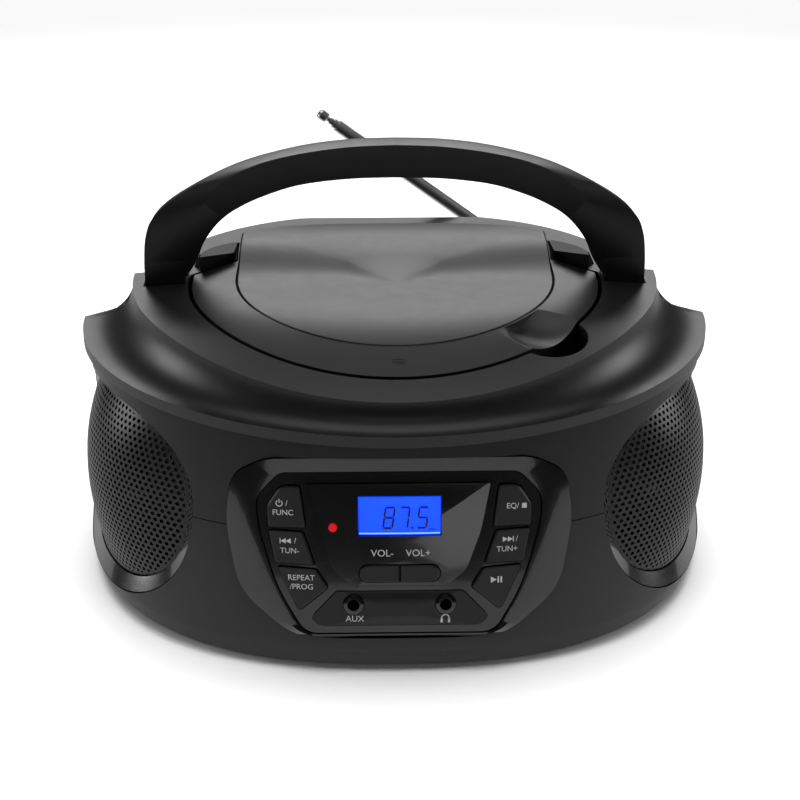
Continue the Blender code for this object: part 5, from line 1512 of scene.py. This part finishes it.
def make_lid():
    outline = lid_outline(LID_GAP)
    inner = lid_outline(LID_GAP + LID_WALL)
    panel = panel_outline()
    half_count = len(lid_half(0.0))
    total = len(outline)
    tongue_start = 68
    tongue = [tongue_start <= min(i, total - i) < half_count for i in range(total)]
    wide = towards(panel, 1 + 0.35 / PANEL_RADIUS)
    seat = [(x * 0.985, y - 0.8) if tongue[i] else wide[i] for i, (x, y) in enumerate(panel)]

    def seat_level(i, x, y):
        """The ring's own top, or the seat under the panel where the tongue is."""
        return panel_level(x, y) - LID_SKIN - GAP if tongue[i] else deck_level(x, y)

    def under(x, y, drop):
        return (x, y, panel_level(x, y) - LID_SKIN - GAP - drop)

    def ring_under(i, x, y):
        if tongue[i]:
            return under(x, y, LID_BASE)
        return (x, y, min(deck_level(x, y) - LID_DEPTH, panel_level(x, y) - LID_SKIN - GAP - LID_BASE))

    def wall_foot(i, x, y):
        return (x, y, min(lid_bottom(x, y), ring_under(i, x, y)[2] - 0.4))

    rings = [[under(x, y, LID_BASE) for x, y in towards(panel, share)] for share in (0.3, 0.6, 0.85)]
    rings += [
        [ring_under(i, x, y) for i, (x, y) in enumerate(towards(panel, 0.94))],
        [ring_under(i, x, y) for i, (x, y) in enumerate(inner)],
        [wall_foot(i, x, y) for i, (x, y) in enumerate(inner)],
        [wall_foot(i, x, y) for i, (x, y) in enumerate(outline)],
        [(x, y, seat_level(i, x, y)) for i, (x, y) in enumerate(outline)],
        [(x, y, seat_level(i, x, y)) for i, (x, y) in enumerate(seat)],
        [under(x, y, 0.0) for x, y in towards(seat, 0.998)],
    ]
    rings += [[under(x, y, 0.0) for x, y in towards(panel, share)] for share in (0.93, 0.85, 0.73, 0.6, 0.3)]
    lid = place("lid_ring", loft(rings), "satin_black")
    x, y = notch_centre()
    surface = deck_level(x, y)
    ball_radius = (NOTCH_RADIUS**2 + SCOOP_DEPTH**2) / (2 * SCOOP_DEPTH)
    ball = bmesh.new()
    bmesh.ops.create_uvsphere(ball, u_segments=64, v_segments=48, radius=ball_radius)
    bmesh.ops.translate(ball, vec=(x, y, surface - SCOOP_DEPTH + ball_radius), verts=ball.verts)
    scoop = helper("scoop", ball)
    keep = prism(towards(panel, 1.012), SKIRT_Z, DECK_Z + 40)
    cut(scoop, helper("panel_keep", keep))
    cut(lid, scoop)
    for side in (-1, 1):
        xs = sorted(side * x for x in HINGE_LUG)
        lug_top = panel_level(xs[1], HINGE_Y + 2.3) - LID_SKIN - GAP - 0.7
        lug = box((xs[0], HINGE_Y - 2.3, HINGE_Z), (xs[1], HINGE_Y + 2.3, lug_top))
        eye = rod((xs[0] + 0.2, HINGE_Y, HINGE_Z), (xs[1] - 0.2, HINGE_Y, HINGE_Z), 2.4, 19)
        join(lid, helper("hinge_lug", lug), helper("lug_eye", eye))
    for side in (-1, 1):
        start = (side * (HINGE_LUG[0] - 3), HINGE_Y, HINGE_Z)
        end = (side * (HINGE_LUG[1] + 3), HINGE_Y, HINGE_Z)
        cut(lid, helper("lug_bore", rod(start, end, HINGE_PIN_RADIUS + GAP, 16)))
    cup_low = DISH_Z + 8.8
    cup = [(8.0, 0), (14.0, 0), (14.0, 8.6), (12.2, 8.6), (12.2, 1.3), (8.0, 1.3)]
    join(lid, helper("clamp_cup", turned(cup, (0, SPINDLE_Y, cup_low), (0, 0, 1), 36, closed=True)))

    def skin(outline_2d, drop):
        return [(x, y, panel_level(x, y) - drop) for x, y in outline_2d]

    rings = [skin(towards(panel, share), LID_SKIN) for share in (0.3, 0.6, 0.73, 0.85, 0.93, 1.0)]
    rings += [skin(panel, 0.7), skin(towards(panel, 0.988), 0.0)]
    rings += [skin(towards(panel, share), 0.0) for share in (0.85, 0.6, 0.3)]
    lid_panel = place("lid_panel", loft(rings), "satin_black")

    clamp = [(13.0, 4.5), (13.0, 7.6), (7.2, 7.6), (7.2, 11.4), (11.0, 11.4), (11.0, 13.4)]
    made = place("disc_clamp", turned(clamp, (0, SPINDLE_Y, DISH_Z), (0, 0, 1), 24), "button_black")


# ---------------------------------------------------------------- inside and back


def inlet_cutter():
    low = (INLET_X - 12.3, BACK_Y - 10, INLET_Z - 8.3)
    high = (INLET_X + 12.3, BACK_Y + 5, INLET_Z + 8.3)
    return helper("inlet_opening", box(low, high))


def stadium(half_length, radius, x, z, y, steps=8):
    """A ring with round ends in a plane across Y."""
    points = []
    for side, start in ((1, -90), (-1, 90)):
        for k in range(steps + 1):
            turn = math.radians(start + 180 * k / steps)
            px = x + side * half_length + radius * math.cos(turn)
            points.append((px, y, z + radius * math.sin(turn)))
    return points


def make_back():
    low = (INLET_X - 12, BACK_Y - 22, INLET_Z - 8)
    high = (INLET_X + 12, BACK_Y - 0.4, INLET_Z + 8)
    inlet = place("mains_inlet", box(low, high), "button_black")
    hollow = loft([stadium(4.2, 4.6, INLET_X, INLET_Z, y) for y in (BACK_Y - 14, BACK_Y + 4)])
    cut(inlet, helper("inlet_socket", hollow))
    for side in (-1, 1):
        x = INLET_X + side * 4.2
        pin = rod((x, BACK_Y - 16, INLET_Z), (x, BACK_Y - 5, INLET_Z), 1.2, 12)
        join(inlet, helper("inlet_pin", pin))

    door_low = (BAY_LOW[0] - 0.9, BACK_Y - DOOR_THICKNESS, BAY_LOW[2] - 0.9)
    door_high = (BAY_HIGH[0] + 0.9, BACK_Y, BAY_HIGH[2] + 0.9)
    door = place("battery_door", box(door_low, door_high), "satin_black")
    for k in range(3):
        z = BAY_HIGH[2] - 6 - 2.4 * k
        groove = box((4.0, BACK_Y - 0.7, z), (24.0, BACK_Y + 2, z + 1.0))
        cut(door, helper("door_grip", groove))


def antenna_root():
    return Vector((ANTENNA_X, BACK_Y + ANTENNA_STANDOFF, ANTENNA_Z))


def antenna_axis():
    rise = math.radians(ANTENNA_RISE)
    return Vector((-math.cos(rise), 0, math.sin(rise)))


def make_antenna():
    root = antenna_root()
    along = antenna_axis()
    tilt = along.cross(Vector((0, 1, 0))).normalized()
    base_y = BACK_Y + GAP
    disc = turned([(5.6, 0.0), (5.6, 1.6), (4.6, 2.3)], (root.x, base_y, root.z), (0, 1, 0), 28)
    base = place("antenna_base", disc, "button_black")
    tongue = rod(root - tilt * 1.6, root + tilt * 1.6, 2.7, 20)
    join(base, helper("antenna_tongue", tongue))
    neck_start = Vector((root.x, base_y + 1.5, root.z))
    neck = box((-1.6, 0, -2.2), (1.6, root.y - neck_start.y, 2.2))
    turn = Matrix.Rotation(math.radians(ANTENNA_RISE - 90), 4, "Y")
    neck.transform(Matrix.Translation(neck_start) @ turn)
    join(base, helper("antenna_neck", neck))

    start = 4.4
    for i, radius in enumerate(ANTENNA_RADII):
        wall = ANTENNA_WALLS[i]
        low = root + along * (start + (8.0 + 1.4 * i if i else 2.5))
        high = root + along * (start + ANTENNA_LENGTH + 1.9 * i)
        name = "antenna_section_" + str(i + 1)
        if wall:
            section = place(name, tube(low, high, radius, wall, 18), "chrome")
        else:
            section = place(name, rod(low, high, radius, 14), "chrome")
            knob_start = high - along * 0.6
            knob = turned([(1.5, 0), (2.2, 0.7), (2.2, 3.6), (1.6, 4.4)], knob_start, along, 18)
            join(section, helper("antenna_knob", knob))
        if i == 0:
            collar = turned([(3.4, 0), (3.4, 6.0), (2.8, 7.2)], root + along * start, along, 20)
            join(section, helper("antenna_collar", collar))
            for side in (-1, 1):
                cheek = rod(root + tilt * side * 1.95, root + tilt * side * 3.2, 2.6, 16)
                join(section, helper("antenna_cheek", cheek))
                arm = box((-1.3, 0, -2.3), (start + 1.0, 0.625 * 2, 2.3))
                spin = Matrix((along, tilt * side, along.cross(tilt * side))).transposed().to_4x4()
                arm.transform(Matrix.Translation(root + tilt * side * 1.95) @ spin)
                join(section, helper("antenna_arm", arm))


def main():
    make_top_cover()
    make_upper_cabinet()
    make_lower_cabinet()
    make_handle()
    make_tray()
    make_lid()
    for side, word in ((-1, "left"), (1, "right")):
        make_speaker(side, word)
        make_grille(side, word)
    make_panel()
    make_back()
    make_antenna()
    make_printing()
    make_display()
    make_lid_mark()


# ---------------------------------------------------------------- finishing and stage


SHARP_ANGLE = math.radians(32)


def shade(made):
    made.data.shade_smooth()
    made.data.set_sharp_from_angle(angle=SHARP_ANGLE)


def finish_pieces():
    for made, _ in PIECES.values():
        settle(made)
    for other in HELPERS:
        bpy.data.objects.remove(other)
    for node, (made, finish) in PIECES.items():
        shade(made)
        made.data.materials.clear()
        made.data.materials.append(FINISHES[finish])
        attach(made, NODE_BODY[node])
        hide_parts(node)
    for made, finish, body in EXTRAS:
        shade(made)
        made.data.materials.clear()
        made.data.materials.append(FINISHES[finish])
        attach(made, body)
    for node, cad in frame["nodes"].items():
        if node not in PIECES:
            cad.data.materials.clear()
            hidden_steel = node.startswith("speaker_driver")
            cad.data.materials.append(FINISHES["cone_paper" if hidden_steel else NODE_SLOT[node]])


def softbox(name, where, aim, width, depth, watts):
    light = bpy.data.lights.new(name, "AREA")
    light.shape = "RECTANGLE"
    light.size = width
    light.size_y = depth
    light.energy = watts
    made = bpy.data.objects.new(name, light)
    bpy.context.scene.collection.objects.link(made)
    made.location = where
    direction = Vector(aim) - Vector(where)
    made.rotation_euler = direction.to_track_quat("-Z", "Y").to_euler()
    return made


def shine_only(light, receivers):
    """Keeps a light to the objects named, so that the rest of the cabinet stays dark."""
    group = bpy.data.collections.new(light.name + "_receivers")
    for made in receivers:
        group.objects.link(made)
    light.light_linking.receiver_collection = group


def fade_to_white(floor):
    """The floor goes to plain white away from the object, where the soft light over it runs out."""
    nodes = floor.data.materials[0].node_tree.nodes
    links = floor.data.materials[0].node_tree.links
    output = next(node for node in nodes if node.type == "OUTPUT_MATERIAL")
    lit = output.inputs["Surface"].links[0].from_socket
    place = nodes.new("ShaderNodeTexCoord")
    reach = nodes.new("ShaderNodeVectorMath")
    reach.operation = "LENGTH"
    links.new(place.outputs["Object"], reach.inputs[0])
    far = nodes.new("ShaderNodeMapRange")
    far.inputs["From Min"].default_value = 0.45
    far.inputs["From Max"].default_value = 0.9
    links.new(reach.outputs["Value"], far.inputs["Value"])
    path = nodes.new("ShaderNodeLightPath")
    seen = nodes.new("ShaderNodeMath")
    seen.operation = "MULTIPLY"
    links.new(far.outputs["Result"], seen.inputs[0])
    links.new(path.outputs["Is Camera Ray"], seen.inputs[1])
    white = nodes.new("ShaderNodeEmission")
    white.inputs["Color"].default_value = (0.95, 0.95, 0.95, 1)
    mix = nodes.new("ShaderNodeMixShader")
    links.new(seen.outputs["Value"], mix.inputs["Fac"])
    links.new(lit, mix.inputs[1])
    links.new(white.outputs["Emission"], mix.inputs[2])
    links.new(mix.outputs["Shader"], output.inputs["Surface"])


def make_stage():
    scene = bpy.context.scene
    ground = bmesh.new()
    bmesh.ops.create_grid(ground, x_segments=1, y_segments=1, size=4.0)
    mesh = bpy.data.meshes.new("floor")
    ground.to_mesh(mesh)
    ground.free()
    floor = bpy.data.objects.new("floor", mesh)
    scene.collection.objects.link(floor)
    floor.data.materials.append(surface("floor_white", (0.86, 0.86, 0.86), 0.9, mottle=0.004, grain=0.0))
    fade_to_white(floor)
    floor.visible_glossy = False

    softbox("rear_softbox", (0.0, 1.5, 0.95), (0, 0, 0.1), 1.6, 0.6, 12.5)
    softbox("overhead_softbox", (0.0, 0.1, 1.3), (0, 0, 0), 1.2, 1.0, 5.0)
    softbox("left_strip", (-1.1, 0.15, 0.32), (0, 0, 0.12), 0.4, 0.5, 4.0)
    softbox("right_strip", (1.1, 0.15, 0.32), (0, 0, 0.12), 0.4, 0.5, 4.0)
    softbox("front_softbox", (0.0, -1.2, 1.4), (0, 0, 0.1), 1.0, 0.5, 1.2)
    floor_light = softbox("floor_softbox", (0.0, 0.1, 1.2), (0, 0, 0), 1.3, 1.1, 24.0)
    shine_only(floor_light, [floor])
    glare = softbox("lens_glare", (0.27, -1.1, 0.003), (0.27, -1.1, 1.0), 0.5, 1.2, 2.6)
    glare.rotation_euler = (math.pi, 0, math.radians(-5))
    shine_only(glare, [PIECES["display_lens"][0]])

    card_bm = bmesh.new()
    bmesh.ops.create_grid(card_bm, x_segments=1, y_segments=1, size=0.45)
    bmesh.ops.translate(card_bm, vec=(0, -0.02, -0.001), verts=card_bm.verts)
    card_mesh = bpy.data.meshes.new("reflector_card")
    card_bm.to_mesh(card_mesh)
    card_bm.free()
    card = bpy.data.objects.new("reflector_card", card_mesh)
    scene.collection.objects.link(card)
    card.data.materials.append(surface("card_white", (0.7, 0.7, 0.7), 0.9, mottle=0.004, grain=0.0, glow=1.0))
    card.visible_camera = False
    card.visible_diffuse = False
    card.visible_shadow = False

    world = bpy.data.worlds.new("studio")
    scene.world = world
    world.use_nodes = True
    nodes = world.node_tree.nodes
    links = world.node_tree.links
    backdrop = nodes["Background"]
    backdrop.inputs["Color"].default_value = (0.05, 0.05, 0.052, 1)
    seen = nodes.new("ShaderNodeBackground")
    seen.inputs["Color"].default_value = (0.95, 0.95, 0.95, 1)
    path = nodes.new("ShaderNodeLightPath")
    mix = nodes.new("ShaderNodeMixShader")
    links.new(path.outputs["Is Camera Ray"], mix.inputs["Fac"])
    links.new(backdrop.outputs["Background"], mix.inputs[1])
    links.new(seen.outputs["Background"], mix.inputs[2])
    links.new(mix.outputs["Shader"], nodes["World Output"].inputs["Surface"])

    camera = bpy.data.cameras.new("camera")
    camera.lens = 81.3
    camera.sensor_width = 36.0
    made = bpy.data.objects.new("camera", camera)
    scene.collection.objects.link(made)
    made.location = (-0.010, -0.634, 0.350)
    made.rotation_euler = (Vector((0.002, 0, 0.054)) - made.location).to_track_quat("-Z", "Y").to_euler()
    scene.camera = made
    scene.view_settings.view_transform = "Standard"


main()
finish_pieces()
make_stage()
